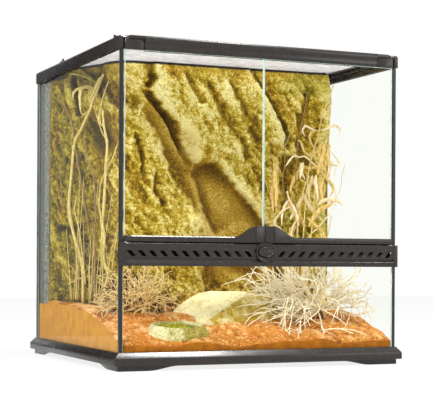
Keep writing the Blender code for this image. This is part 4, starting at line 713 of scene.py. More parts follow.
def rock_background(look, side_look):
    """The carved face and the slab behind it.

    The face is a sheet over (length, height) that stands off its plan line by the relief. Flat sides, a back
    and a top close it.
    """
    _, _, length = rock_line(0.0)
    runs = np.linspace(0, length, 340)
    levels = np.unique(np.concatenate([np.linspace(FLOOR_TOP, ROCK_TOP, 280), CREST_LEVELS[:2]]))
    s, z = np.meshgrid(runs, levels, indexing="ij")
    relief, smooth = rock_shape(s, z)
    x, y, _ = rock_line(s, relief)
    inset = np.interp(z, CREST_LEVELS, (INSIDE, CREST_FOOT, CREST_HEAD))
    corner = np.clip((z - ROCK_TOP) / CREST_ROUNDING + 1.0, 0.0, 1.0)
    right_inset = INSIDE - RIGHT_END_GAP - RIGHT_END_LEAN * eased(z, *LEAN_LEVELS)
    right_inset -= CREST_CORNER * (1.0 - np.sqrt(1.0 - corner**2))
    x = np.clip(x, LEFT_END_GAP - inset, np.minimum(inset, right_inset))
    points = np.stack([x, np.minimum(y, BACK - SLAB_THICKNESS), z], axis=-1)
    # How pale the paint is: painted shade in the hollows, painted highlight on the crests and on lit places
    painted_shade_and_highlight, moss = rock_paint(s, z, relief)
    # The top few millimetres are painted dark: a painted shadow under the lid
    rim = eased(z, ROCK_TOP - 5.0, ROCK_TOP - 3.0)
    values = {"painted_shade_and_highlight": painted_shade_and_highlight, "smooth": smooth, "moss": moss, "rim": rim}
    face = (points, sheet_quads(*s.shape)[:, ::-1])
    mesh_piece("rock_face", *face, look, TANK, "painted_foam_rock", ["rock_background"], values=values)
    rear = np.interp(levels, CREST_LEVELS, (BACK, CREST_FOOT, CREST_HEAD))
    top_rim = points[:, -1].copy()
    top_rim[:, 1] = rear[-1]
    shell = [(np.stack([points[:, -1], top_rim]), sheet_quads(2, len(runs)))]
    quads = sheet_quads(2, len(levels))
    back_columns = []
    for column, order in ((points[0], quads[:, ::-1]), (points[-1], quads)):
        back_column = column.copy()
        back_column[:, 1] = rear
        back_columns.append(back_column)
        shell.append((np.stack([column, back_column]), order))
    shell.append((np.stack(back_columns), quads))
    mesh_piece("rock_slab_sides", *joined(*shell), side_look, TANK, "painted_foam_rock", sharp=30)


# Sand bank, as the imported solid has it: front line, height there, rise behind it, run of that rise, ripple
SAND_EDGE = 221.0
SAND_FRONT = 34.0
SAND_BANK = 58.0
SAND_RUN = 110.0
SAND_RIPPLE = 1.6

# Places of the dish and the flat rock, and their half sizes
DISH_PLACE = (-119.0, -176.0)
DISH_HALF_SIZE = (47.0, 29.0)
HIDE_PLACE = (-14.0, -112.0)
HIDE_HALF_SIZE = (88.0, 52.0)

# Noise layers: strength, length along x, length along y, seed. Mounds: x, y, half length, half width, rise
HUMMOCKS = ((3.6, 34, 40, 41),)
WAVING_EDGE = ((4.2, 34, 1, 49),)
LARGE_CLODS = ((1.0, 13, 13, 43),)
SMALL_CLODS = ((1.0, 7, 7, 44),)
FINE_SAND = ((0.7, 3.6, 3.6, 45), (0.4, 2.1, 2.1, 47))
SAND_MOUNDS = (
    (HIDE_PLACE[0] + 10, HIDE_PLACE[1] - 34, 88, 26, 6.0),
    (-128, -122, 52, 26, 8.0),
)

# Height of the clods, how far back the waving edge reaches, points along the sheet's sides and the skin
CLOD_HEIGHT = 1.5
EDGE_REACH = 16
SAND_COLUMNS, SAND_ROWS = 240, 190
SKIN_COLUMNS = 12

# Corners of a grain of grit before its sides are made uneven, and its faces
GRIT_CORNERS = np.array(
    [(1, 1, 1), (-1, 1, 1), (-1, -1, 1), (1, -1, 1), (1, 1, -1), (-1, 1, -1), (-1, -1, -1), (1, -1, -1)]
)
GRIT_FACES = np.array([(0, 1, 2, 3), (7, 6, 5, 4), (0, 4, 5, 1), (1, 5, 6, 2), (2, 6, 7, 3), (3, 7, 4, 0)])
GRIT_COUNT = 3400


def sand_height(x, y):
    """z = front + bank (1 - exp(-run / length)) plus a ripple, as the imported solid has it."""
    run = y + SAND_EDGE
    height = SAND_FRONT + SAND_BANK * (1 - np.exp(-run / SAND_RUN))
    return height + SAND_RIPPLE * np.sin(x / 31.0 + y / 47.0) * np.cos(y / 23.0)


# The dish stands a little in the sand. Its sides drift to the right as they rise
DISH_FOOT = float(sand_height(DISH_PLACE[0], DISH_PLACE[1] - DISH_HALF_SIZE[1])) - 2.0
DISH_HEIGHT = 23.0
DISH_DRIFT = 2.5

# Level bed under the dish: its shift to the right, squared share of the dish's size, and rise over the foot
BED_SHIFT = 3
BED_SHARE = 0.62
BED_RISE = 3.0


def sand_surface(x, y):
    """The bank with hummocks, mounds, clods and grains on it.

    Along the front glass its line waves. Under the dish it is cut down to a level bed.
    """
    height = sand_height(x, y) + layered(x, y, HUMMOCKS)
    for place_x, place_y, half_length, half_width, rise in SAND_MOUNDS:
        height += rise * mound((x - place_x) / half_length, (y - place_y) / half_width)
    height += layered(x, 0.0, WAVING_EDGE) * np.exp(-(y + INSIDE) / EDGE_REACH)
    clods = np.maximum(layered(x, y, LARGE_CLODS), -0.1) + 0.5 * np.maximum(layered(x, y, SMALL_CLODS), 0.0)
    height += CLOD_HEIGHT * clods + layered(x, y, FINE_SAND)
    bed_x = (x - DISH_PLACE[0] - BED_SHIFT) / DISH_HALF_SIZE[0]
    bed_y = (y - DISH_PLACE[1]) / DISH_HALF_SIZE[1]
    return np.where(bed_x**2 + bed_y**2 < BED_SHARE, np.minimum(height, DISH_FOOT + BED_RISE), height)


def sand(look):
    """The sand as a sheet over (place across, share of the way from the front glass to the rock).

    Walls go down to the floor at the front and the sides. A skin lies on the left pane beside the rock.
    """
    rear_x, rear_y, _ = rock_line(np.linspace(0, rock_line(0.0)[2], 700))
    columns = np.linspace(-INSIDE, INSIDE, SAND_COLUMNS)
    rear = np.interp(columns, rear_x, rear_y) + 2.0
    share = np.linspace(0, 1, SAND_ROWS)
    x = np.repeat(columns[:, None], SAND_ROWS, axis=1)
    y = -INSIDE + (rear[:, None] + INSIDE) * share[None, :]
    z = sand_surface(x, y)
    # Paler on lumps and deeper orange in hollows: painted highlight and painted shade
    painted_shade_and_highlight = np.clip(0.54 + (z - blurred(z, 4)) * 0.26 + (z - blurred(z, 10)) * 0.14, 0, 1)
    points = np.stack([x, y, z], axis=-1)
    parts = [(points, sheet_quads(*x.shape))]
    for line, turned in ((points[:, 0], True), (points[0], False), (points[-1], True)):
        foot = line.copy()
        foot[:, 2] = FLOOR_TOP
        quads = sheet_quads(2, len(line))
        parts.append((np.stack([foot, line]), quads[:, ::-1] if turned else quads))
    skin = np.full((SKIN_COLUMNS, 3), FLOOR_TOP)
    skin[:, 0] = -INSIDE - 0.2
    skin[:, 1] = np.linspace(rear[0] - 4.0, BACK, SKIN_COLUMNS)
    skin_top = skin.copy()
    skin_top[:, 2] = points[0, -1, 2] - 4.0
    parts.append((np.stack([skin, skin_top]), sheet_quads(2, SKIN_COLUMNS)))
    shape = joined(*parts)
    shades = np.full(len(shape[0]), 0.5)
    shades[: painted_shade_and_highlight.size] = painted_shade_and_highlight.ravel()
    mesh_piece("sand_bank", *shape, look, TANK, "desert_sand", ["sand"], sharp=60, values={"painted_shade_and_highlight": shades})


def sand_grit(look):
    """Coarse grains on the sand: small blocks with uneven corners, turned about the upright and flattened."""
    rng = np.random.default_rng(5)
    x = rng.uniform(-INSIDE + 3, INSIDE - 3, GRIT_COUNT)
    y = rng.uniform(-INSIDE + 3, -20, GRIT_COUNT)
    centres = np.stack([x, y, sand_surface(x, y) + 0.2], axis=-1)
    size = rng.uniform(0.5, 1.6, GRIT_COUNT) ** 1.4
    turn = rng.uniform(0, 2 * np.pi, GRIT_COUNT)
    spin = np.stack([np.cos(turn), -np.sin(turn), np.sin(turn), np.cos(turn)], axis=-1).reshape(-1, 2, 2)
    uneven = GRIT_CORNERS / 1.7 * rng.uniform(0.6, 1.3, (GRIT_COUNT, 8, 3))
    flat = np.einsum("nij,nkj->nki", spin, uneven[..., :2])
    shapes = np.concatenate([flat, uneven[..., 2:] * 0.7], axis=-1) * size[:, None, None] + centres[:, None]
    quads = (np.arange(GRIT_COUNT) * 8)[:, None, None] + GRIT_FACES
    mesh_piece("sand_grit", shapes, quads, look, TANK, "desert_sand")


# Dish and flat rock: rings up the sides, points round them, and the rings between which the algae begin
STONE_RINGS = 90
STONE_SIDES = 220
BOWL_RINGS = (52, 60)

# Noise on stones: strength, length across, length up. The first two layers are facets, the others small lumps
STONE_NOISE = ((1.0, 26, 22), (0.5, 11, 9), (1.0, 5, 5), (0.6, 2.4, 2.4))


def oval_edge(place, half_length, half_width, turn, phase, rough):
    """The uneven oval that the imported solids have: its radius waves 3, 5 and 8 times round."""
    wave = np.sin(3 * turn + phase) + 0.6 * np.sin(5 * turn + 2.1 * phase) + 0.4 * np.sin(8 * turn - phase)
    wave = 1 + rough * wave
    return place[0] + half_length * wave * np.cos(turn), place[1] + half_width * wave * np.sin(turn)


def turned_stone(name, replaced, look, place, half_size, steps, phase, rough, lumps, seed, cap=None):
    """A stone skinned through ovals and displaced outwards by noise.

    A step is (share of the oval, height, rise of the rear edge). `cap` gives the highest level at a place.
    """
    steps = curve_through(np.array(steps), STONE_RINGS)
    turn = np.linspace(0, 2 * np.pi, STONE_SIDES, endpoint=False)
    share, angle = np.meshgrid(steps[:, 0], turn, indexing="ij")
    level = np.repeat(steps[:, 1][:, None], len(turn), axis=1)
    x, y = oval_edge(place, half_size[0] * share, half_size[1] * share, angle, phase, rough)
    level = level + steps[:, 2][:, None] * (y - place[1]) / half_size[1]
    layers = []
    for i, (strength, wide, high) in enumerate(STONE_NOISE):
        layers.append(strength * noise(x / wide, y / wide, level / high, seed=seed + i))
    facets, small = layers[0] + layers[1], layers[2] + layers[3]
    out = (lumps * facets + 0.22 * lumps * small) * np.minimum(share * 2.5, 1.0)
    x = x + out * np.cos(angle)
    y = y + out * np.sin(angle)
    foot = steps[0, 1]
    if cap is None:
        x = x + DISH_DRIFT * eased(level, foot, foot + DISH_HEIGHT)
    else:
        level = np.minimum(level, cap(x, y) + 0.5 * small)
    z = level + 0.35 * lumps * facets * eased(level, foot, foot + 14)
    points = np.stack([x, y, z], axis=-1)
    last = np.arange(points.shape[0] * points.shape[1]).reshape(points.shape[:2])[-1]
    closing = [[last[i], last[i + 1], last[-i - 2], last[-i - 1]] for i in range(len(last) // 2 - 1)]
    quads = np.concatenate([sheet_quads(*points.shape[:2], wrap=True)[:, ::-1], np.array(closing)])
    bowl = np.repeat(eased(np.arange(STONE_RINGS), *BOWL_RINGS)[:, None], len(turn), axis=1) * (cap is None)
    mesh_piece(name, points, quads, look, TANK, "moulded_resin_rock", [replaced], values={"bowl": bowl})


def water_dish(look, water):
    """The dish as ovals up its side, over its rim and down into its bowl, and a disc of water in it."""
    foot, high = DISH_FOOT, DISH_FOOT + DISH_HEIGHT
    steps = (
        (1.1, foot, 0), (1.07, foot + 7, 0), (0.96, high - 8, 4), (0.88, high - 1, 4.5), (0.86, high, 4.5),
        (0.8, high - 0.5, 4.5), (0.76, high - 3, 4.5), (0.72, high - 7, 3), (0.6, high - 12.5, 0),
        (0.4, high - 13.5, 0), (0.14, high - 13.8, 0),
    )
    phase, rough, water_share, water_depth = 0.9, 0.04, 0.76, 6.0
    oval = (DISH_PLACE, DISH_HALF_SIZE, steps, phase, rough)
    turned_stone("water_dish_rock", "water_dish", look, *oval, lumps=2.6, seed=61)
    turn = np.linspace(0, 2 * np.pi, 64, endpoint=False)
    half_size = [size * water_share for size in DISH_HALF_SIZE]
    x, y = oval_edge(DISH_PLACE, *half_size, turn, phase, rough)
    ring = np.stack([x + DISH_DRIFT, y, np.full(64, high - water_depth)], axis=-1)
    inner = ring.copy()
    inner[:, :2] = np.array(DISH_PLACE) + (ring[:, :2] - np.array(DISH_PLACE)) * 0.02
    quads = sheet_quads(2, 64, wrap=True)
    mesh_piece("dish_water", np.stack([inner, ring]), quads, water, TANK, "moulded_resin_rock")


# A point on the edge in which the flat rock's two cut faces meet
RIDGE_PLACE = (-65.0, -160.0, 67.0)


def flat_rock_cap(x, y):
    """Two slanting faces that meet in an edge towards the front left: one faces left, one faces the front.

    Each is a plane through RIDGE_PLACE, and the lower one counts.
    """
    along, back = x - RIDGE_PLACE[0], y - RIDGE_PLACE[1]
    left_face = RIDGE_PLACE[2] + 0.364 * along + 0.391 * back
    front_face = RIDGE_PLACE[2] - 0.1 * along + 1.5 * back
    return np.minimum(left_face, front_face)


def flat_rock(look):
    """The flat rock as ovals up its side and in over its top, cut off by the two slanting faces."""
    foot = float(sand_height(HIDE_PLACE[0], HIDE_PLACE[1] - HIDE_HALF_SIZE[1])) - 4.0
    shares = (1.0, 0.99, 0.96, 0.91, 0.82, 0.66, 0.42, 0.2, 0.08)
    rises = (0, 12, 26, 38, 48, 55, 58, 59, 59)
    steps = [(share, foot + rise, 0) for share, rise in zip(shares, rises)]
    phase, rough = 2.2, 0.035
    oval = (HIDE_PLACE, HIDE_HALF_SIZE, steps, phase, rough)
    turned_stone("flat_rock", "rock_hide", look, *oval, lumps=3.0, seed=71, cap=flat_rock_cap)


# Dry plants: points of a twig, its tip's share of its radius, and a fork's turn and share of the radius
TWIG_POINTS = 7
TWIG_TAPER = 0.62
FORK_TURN = 0.62
FORK_THINNING = 0.72


def branching(rng, root, directions, length, levels, droop, bend, thick):
    """Twigs that fork again and again: paths and their radii.

    Each level, (children, shrink), starts its twigs on those of the level before, turns them by a random
    angle and shortens them. Each step along a twig adds a random bend and a droop to its direction.
    """
    starts = np.repeat(np.asarray(root, float)[None], len(directions), axis=0)
    heads = unit(np.asarray(directions, float))
    paths, radii = [], []
    for children, shrink in levels:
        count = len(starts)
        reach = length * rng.uniform(0.7, 1.15, count)
        points = np.empty((count, TWIG_POINTS, 3))
        points[:, 0] = starts
        way = heads.copy()
        for i in range(1, TWIG_POINTS):
            way = unit(way + rng.normal(0, bend, way.shape) + np.array((0, 0, -droop)))
            points[:, i] = points[:, i - 1] + way * (reach / (TWIG_POINTS - 1))[:, None]
        paths.append(points)
        radii.append(np.linspace(thick, thick * TWIG_TAPER, TWIG_POINTS)[None].repeat(count, axis=0))
        if children:
            where = rng.integers(2, TWIG_POINTS, (count, children)).ravel()
            which = np.repeat(np.arange(count), children)
            starts = points[which, where]
            trunk = unit(points[which, where] - points[which, where - 1])
            heads = unit(trunk + rng.normal(0, FORK_TURN, trunk.shape))
        length *= shrink
        thick *= FORK_THINNING
    return np.concatenate(paths), np.concatenate(radii)


def kept_inside(paths, clear):
    """Paths pushed back inside the glass and above the sand."""
    limit = INSIDE - clear
    paths[..., 0] = np.clip(paths[..., 0], -limit, limit)
    paths[..., 1] = np.clip(paths[..., 1], -limit, None)
    floor = sand_height(paths[..., 0], paths[..., 1]) + 1.2
    paths[..., 2] = np.maximum(paths[..., 2], floor)
    return paths


def dome(rng, count, flat, low=0.0):
    """Unit directions spread over a dome by the golden angle."""
    level = (np.arange(count) + 0.5) / count
    turn = np.arange(count) * math.pi * (3 - math.sqrt(5)) + rng.uniform(-0.3, 0.3, count)
    up = low + (1 - low) * level
    out = np.sqrt(np.maximum(1 - up**2, 0.0))
    return np.stack([out * np.cos(turn), out * np.sin(turn) * flat, up], axis=-1)


def twig_piece(name, twigs, low, high, look, slot, replaced=()):
    """Twigs cut to the box from low to high and kept inside the tank, as one piece."""
    paths, radii = twigs
    mesh_piece(name, *tubes(kept_inside(np.clip(paths, low, high), 5), radii), look, TANK, slot, replaced)


def bushes(beige, cream, stem_and_shade_look):
    """Two bushes that fork out from their roots into domes.

    The left one has a darker one behind it, of dark bark, which is painted shade between its twigs. The right
    one is wide, with long twigs to its left and a stem.
    """
    rng = np.random.default_rng(11)
    foot = sand_height(-150.0, -84.0)
    levels = ((3, 0.85), (3, 0.75), (0, 1))
    twigs = branching(rng, (-148, -84, foot + 8), dome(rng, 34, 0.7, -0.05), 46, levels, 0.04, 0.24, 1.15)
    # Dark bark twigs behind the left bush: painted shade between its twigs
    shade = branching(rng, (-140, -70, foot + 6), dome(rng, 26, 0.5, 0.0), 40, levels, 0.05, 0.25, 1.3)
    twig_piece("left_bush_shade", shade, (-205, -90, 0), (-72, -44, 140), stem_and_shade_look, "dry_twig")
    twig_piece("left_bush_twigs", twigs, (-212, -128, 0), (-66, -44, 152), beige, "dry_twig", ["left_bush"])

    foot = sand_height(136.0, -140.0)
    root = np.array((136.0, -140.0, foot + 15))
    levels = ((3, 0.8), (3, 0.68), (0, 1))
    wide = dome(rng, 30, 0.8, 0.0) * np.array((1.8, 1.0, 1.0)) + np.array((-0.3, 0.0, 0.0))
    twigs = branching(rng, root, wide, 60, levels, 0.015, 0.14, 1.6)
    to_the_left = unit(dome(rng, 16, 0.8, 0.0) * np.array((0.7, 0.8, 0.9)) + np.array((-1.0, 0.0, 0.0)))
    long_twigs = branching(rng, root, to_the_left, 84, levels, 0.01, 0.13, 1.6)
    twigs = [np.concatenate(both) for both in zip(twigs, long_twigs)]
    twig_piece("right_bush_twigs", twigs, (-20, -212, 0), (214, -82, 176), cream, "dry_straw", ["right_bush"])
    stem = curve_through([(136, -140, foot - 3), (137, -140, foot + 8), (135, -139, foot + 20)], 12)
    shape = tubes(stem[None], np.linspace(5.5, 3.6, 12), sides=10)
    mesh_piece("right_bush_stem", *shape, stem_and_shade_look, TANK, "dry_twig")


# Stalks of the reeds: kind, radius, points (length along the rock's line, height)
REED_STALKS = (
    ("straw", 2.6, ((106, 88), (104, 151), (85, 194), (70, 243), (76, 302), (84, 350), (101, 371), (129, 404),
                    (145, 429), (162, 456))),
    ("straw", 2.5, ((150, 78), (157, 103), (165, 135), (158, 161), (159, 201), (156, 219), (159, 254),
                    (161, 306), (165, 343), (162, 372), (161, 399))),
    ("bark", 1.8, ((128, 84), (125, 151), (112, 226), (97, 280), (86, 323), (76, 378), (61, 406), (48, 426))),
    ("bark", 1.6, ((140, 80), (139, 193), (140, 241), (134, 300), (117, 322), (111, 362))),
    ("straw", 1.5, ((150, 150), (150, 204), (146, 236), (138, 260), (128, 280))),
    ("straw", 1.2, ((141, 240), (144, 278), (156, 301), (169, 322), (177, 343))),
    ("straw", 1.2, ((118, 120), (106, 188), (98, 218), (89, 242), (95, 263))),
    ("straw", 1.2, ((162, 349), (147, 365), (135, 393))),
    ("straw", 1.3, ((162, 372), (152, 378), (152, 397), (158, 407), (168, 430), (175, 443))),
    ("straw", 1.0, ((71, 121), (111, 132), (165, 136))),
    ("straw", 1.1, ((115, 132), (143, 122), (177, 104))),
    ("straw", 1.3, ((162, 151), (177, 130), (182, 118))),
    ("olive", 2.4, ((135, 84), (135, 103), (131, 135), (129, 148))),
    ("olive", 1.4, ((120, 84), (122, 110), (118, 140), (124, 170))),
    ("bark", 0.6, ((60, 240), (52, 290), (44, 330))),
    ("straw", 0.9, ((73, 464), (100, 459), (131, 449))),
)

# Leaves of the reeds: half width, points
REED_LEAVES = (
    (2.6, ((145, 429), (133, 438), (112, 437), (106, 419), (111, 394), (129, 401))),
    (2.2, ((145, 434), (112, 436), (96, 430), (94, 419))),
    (2.0, ((163, 452), (152, 444), (140, 428), (128, 406))),
    (1.8, ((152, 397), (148, 380), (155, 366), (163, 350))),
)
LITTER_COUNT = 26
FINE_REED_COUNT = 16
REED_FOOT = 96

# Points along a reed's stalk and leaf, a blade of litter and a fine reed. Knots of a stalk: how many, how
# wide a share of their spacing, how thick
STALK_POINTS, LEAF_POINTS, LITTER_POINTS, FINE_REED_POINTS = 40, 30, 14, 26
KNOT_COUNT, KNOT_WIDTH, KNOT_SWELLING = 4.2, 0.06, 0.18

# Stalks and leaves of the grass: kind, radius or half width, points (across to the camera's right, height)
GRASS_PLACE = (160.0, -60.0)
GRASS_STALKS = (
    ("bark", 0.8, ((-45, 92), (-45, 202), (-45, 252), (-48, 291), (-45, 320), (-45, 352), (-42, 366))),
    ("bark", 0.9, ((-22, 92), (-24, 202), (-26, 273), (-25, 306), (-23, 334), (-21, 359), (-16, 382),
                   (-11, 404), (-5, 440))),
    ("straw", 1.3, ((-20, 90), (-24, 202), (-21, 240), (-16, 272), (-9, 295), (-5, 318), (0, 341), (7, 363),
                    (12, 388), (16, 406), (23, 422), (32, 450))),
    ("cream", 1.7, ((-30, 92), (-33, 202), (-25, 227), (-28, 243), (-37, 261), (-41, 275))),
    ("cream", 1.1, ((-14, 92), (-6, 190), (13, 216), (27, 233), (40, 252), (41, 270), (40, 295), (41, 313))),
    ("straw", 1.4, ((-16, 92), (-17, 160), (-14, 220), (-12, 262), (-8, 300))),
    ("gold", 1.3, ((-8, 92), (-4, 170), (2, 230), (6, 280))),
    ("straw", 1.1, ((-26, 92), (-38, 160), (-52, 205), (-60, 238))),
    ("straw", 1.2, ((-12, 92), (8, 150), (24, 200), (30, 236))),
    ("gold", 1.5, ((-18, 92), (-30, 150), (-34, 190), (-36, 215))),
)
GRASS_LEAVES = (
    ("gold", 3.4, ((-60, 324), (-56, 305), (-57, 291), (-61, 273), (-60, 255), (-60, 238))),
    ("cream", 3.2, ((-11, 272), (-5, 259), (4, 247), (15, 234), (20, 227))),
    ("gold", 4.2, ((-7, 216), (4, 234), (15, 245), (31, 254), (33, 259))),
    ("cream", 3.4, ((33, 259), (24, 261), (14, 258), (5, 251))),
    ("cream", 2.6, ((-18, 322), (-16, 309), (-11, 294))),
    ("cream", 2.8, ((5, 302), (4, 291), (0, 277), (0, 258))),
    ("gold", 3.2, ((-2, 313), (9, 315), (21, 306), (30, 295), (39, 279), (31, 265))),
    ("cream", 1.9, ((12, 375), (23, 378), (37, 383), (45, 376), (41, 366))),
    ("straw", 1.3, ((12, 375), (-2, 372), (-6, 361), (2, 343), (-2, 331))),
    ("cream", 1.4, ((-23, 330), (-9, 332), (5, 320), (12, 315))),
    ("straw", 1.6, ((-2, 331), (12, 340), (21, 356), (32, 359))),
    ("cream", 1.3, ((30, 343), (41, 333), (49, 318), (34, 320), (20, 325), (9, 316))),
    ("cream", 1.8, ((-36, 250), (-48, 243), (-57, 234), (-63, 221), (-53, 213), (-48, 202))),
    ("gold", 3.0, ((14, 356), (18, 340), (14, 322), (24, 300))),
    ("gold", 2.6, ((26, 352), (30, 334), (24, 316), (30, 290))),
    ("gold", 2.6, ((20, 300), (26, 280), (22, 262), (26, 246))),
    ("straw", 2.2, ((12, 296), (14, 276), (10, 258), (6, 240))),
    ("gold", 2.6, ((-12, 232), (0, 222), (16, 208), (24, 190))),
    ("cream", 2.2, ((-40, 262), (-32, 250), (-26, 236), (-24, 218))),
)
GRASS_VINES = (
    ((-83, 343), (-87, 320), (-84, 298), (-77, 277), (-66, 252), (-60, 236)),
    ((-73, 336), (-66, 328), (-61, 316)),
    ((-96, 268), (-87, 246), (-80, 220)),
    ((-91, 257), (-76, 244), (-62, 230)),
    ((-42, 366), (-48, 352), (-55, 344)),
    ((49, 318), (44, 300), (42, 280), (34, 262)),
)
VINE_RADIUS = 0.55
LEAF_THICKNESS = 0.3
GRASS_STALK_POINTS, GRASS_LEAF_POINTS, VINE_POINTS = 44, 36, 30


def before_rock(points, stand_off, steps):
    """A curve through (length along the rock's line, height) points, in front of the rock's face."""
    curve = curve_through(points, steps)
    curve[:, 0] -= SIGHT_SHIFT * rock_lean(curve[:, 0], curve[:, 1])
    relief, _ = rock_shape(curve[:, 0], curve[:, 1])
    clear = np.convolve(np.pad(np.maximum(relief + 5.0, stand_off), 4, mode="edge"), np.ones(9) / 9, "valid")
    x, y, _ = rock_line(curve[:, 0], np.maximum(clear, relief + 3.0))
    x = np.maximum(x, 4.0 - INSIDE)
    return np.stack([x, y, curve[:, 1]], axis=-1)


def on_view(across, up):
    """Points in the upright plane through the grass's place that faces the camera.

    They lie `across` to its right and `up` above the floor.
    """
    place = np.array((*GRASS_PLACE, 0.0))
    return place + np.asarray(across)[..., None] * CAMERA_RIGHT + np.asarray(up)[..., None] * UPRIGHT


def leaf_width(steps, width):
    """Half width along a leaf: narrow at the stalk, widest past a third of the way, pointed at the tip."""
    t = np.linspace(0, 1, steps)
    return 0.25 + width * (np.sin(np.pi * t**0.75) ** 0.8)


def plant_pieces(name, groups, looks, replaced):
    """One piece for each kind of stalk. The straw one stands for the CAD node."""
    for kind, parts in groups.items():
        piece = mesh_piece(f"{name}_{kind}", *joined(*parts), looks[kind], TANK, "dry_straw")
        if kind == "straw":
            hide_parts(replaced)


def reeds(looks):
    """Knotted stalks and flat leaves in front of the rock, thin litter at their foot and thin upright stalks.

    A stalk thins from 1.05 to 0.7 of its radius and swells at its knots by exp(-(distance / width)^2).
    """
    groups = {}
    from_knot = np.mod(np.linspace(0, KNOT_COUNT, STALK_POINTS), 1.0) - 0.5
    knots = 1 + KNOT_SWELLING * mound(from_knot / KNOT_WIDTH, 0)
    for i, (kind, radius, points) in enumerate(REED_STALKS):
        stand_off = 14.0 + 5.0 * math.sin(2.4 * i)
        path = before_rock(points, stand_off, STALK_POINTS)
        taper = radius * np.linspace(1.05, 0.7, STALK_POINTS)
        groups.setdefault(kind, []).append(tubes(path[None], taper * knots, sides=8))
    for i, (width, points) in enumerate(REED_LEAVES):
        stand_off = 20.0 + 4.0 * math.sin(1.7 * i)
        path = before_rock(points, stand_off, LEAF_POINTS)
        widths = leaf_width(LEAF_POINTS, width)
        groups["straw"].append(tubes(path[None], widths, LEAF_THICKNESS, sides=8, guide=(0.4, 0.3, 0.8)))
    rng = np.random.default_rng(23)
    for _ in range(LITTER_COUNT):
        s, z = rng.uniform(80, 172), rng.uniform(92, 165)
        turn = rng.uniform(-0.9, 0.9)
        reach = rng.uniform(20, 46)
        tip = (s + reach * math.sin(turn), z + reach * math.cos(turn) * rng.uniform(0.1, 0.8))
        middle = ((s + tip[0]) / 2 + rng.uniform(-6, 6), (z + tip[1]) / 2 + rng.uniform(2, 8))
        path = before_rock(((s, z), middle, tip), rng.uniform(6, 26), LITTER_POINTS)
        groups["straw"].append(tubes(path[None], np.linspace(0.6, 0.35, LITTER_POINTS), sides=4))
    for _ in range(FINE_REED_COUNT):
        s, high = rng.uniform(84, 168), rng.uniform(170, 330)
        drift = rng.uniform(-30, 26)
        bend = (s + 0.3 * drift + rng.uniform(-5, 5), REED_FOOT + 0.4 * (high - REED_FOOT))
        path = before_rock(((s, REED_FOOT), bend, (s + drift, high)), rng.uniform(8, 26), FINE_REED_POINTS)
        groups["straw"].append(tubes(path[None], np.linspace(0.95, 0.45, FINE_REED_POINTS), sides=5))
    plant_pieces("reeds", groups, looks, "reeds")


def grass(looks):
    """Stalks that part in depth as they rise, pairs of a leaf and a smaller mirrored one, and thin vines."""
    groups = {}
    for i, (kind, radius, points) in enumerate(GRASS_STALKS):
        path = on_view(*curve_through(points, GRASS_STALK_POINTS).T)
        path[:, 1] += 7.0 * math.sin(2.1 * i) * np.linspace(0.2, 1.0, GRASS_STALK_POINTS)
        taper = radius * np.linspace(1.1, 0.7, GRASS_STALK_POINTS)
        groups.setdefault(kind, []).append(tubes(path[None], taper, sides=6))
    for i, (kind, width, points) in enumerate(GRASS_LEAVES):
        for turn in (1.0, -0.7):
            curve = curve_through(points, GRASS_LEAF_POINTS)
            curve[:, 0] = curve[0, 0] + (curve[:, 0] - curve[0, 0]) * turn
            path = on_view(*curve.T)
            arch = 4.0 * np.sin(np.linspace(0, 3, GRASS_LEAF_POINTS))
            path[:, 1] += 9.0 * math.sin(1.3 * i + turn) + arch
            path[:, 0] = np.minimum(path[:, 0], INSIDE - 6.0)
            widths = leaf_width(GRASS_LEAF_POINTS, width)
            leaf = tubes(path[None], widths, LEAF_THICKNESS, sides=8, guide=(0.35, 0.7, 0.45))
            groups.setdefault(kind, []).append(leaf)
    for points in GRASS_VINES:
        path = on_view(*curve_through(points, VINE_POINTS).T)
        path[:, 1] -= 12.0
        groups["straw"].append(tubes(path[None], VINE_RADIUS, sides=4))
    plant_pieces("grass", groups, looks, "grass_clump")


# Lid mesh: half its side, the wires' spacing and radius, and the level between the two layers. The wires are
# a little coarser than fly mesh, so that they show in the picture
MESH_HALF = 205.0
MESH_PITCH = 2.2
MESH_WIRE = 0.27
MESH_LEVEL = 475.1


def lid_mesh(look):
    """Wire net: a layer of straight wires from left to right on a layer from front to rear."""
    places = np.arange(-MESH_HALF, MESH_HALF + 0.1, MESH_PITCH)
    layers = []
    for axis, lift in ((0, MESH_WIRE), (1, -MESH_WIRE)):
        wires = np.full((len(places), 3, 3), MESH_LEVEL + lift)
        wires[..., axis] = (-MESH_HALF, 0.0, MESH_HALF)
        wires[..., 1 - axis] = places[:, None]
        layers.append(wires)
    net = tubes(np.concatenate(layers), MESH_WIRE, guide=(0.0, 0.0, 1.0))
    mesh_piece("lid_wire_mesh", *net, look, "lid", "stainless_mesh", ["lid_mesh"])


# Plastic parts and the widths of their rounded edges
PLASTIC_NODES = {
    "bottom_frame": 0.8,
    "top_frame": 0.5,
    "vent_bar": 0.4,
    "lid_frame": 0.5,
    "lock_housing": 0.35,
    "lock_knob": 0.15,
    "left_door_rail": 0.35,
    "right_door_rail": 0.35,
    "left_door_hinge_block": 0.3,
    "right_door_hinge_block": 0.3,
    "left_front_latch": 0.3,
    "left_rear_latch": 0.3,
    "right_front_latch": 0.3,
    "right_rear_latch": 0.3,
}

# Edge bands: how far they stand proud of the pane, how deep they reach into it, and a block's faces
BAND_PROUD = 0.05
BAND_DEPTH = 0.3
BAND_FACES = np.array([(0, 1, 3, 2), (6, 7, 5, 4), (0, 4, 5, 1), (1, 5, 7, 3), (3, 7, 6, 2), (2, 6, 4, 0)])


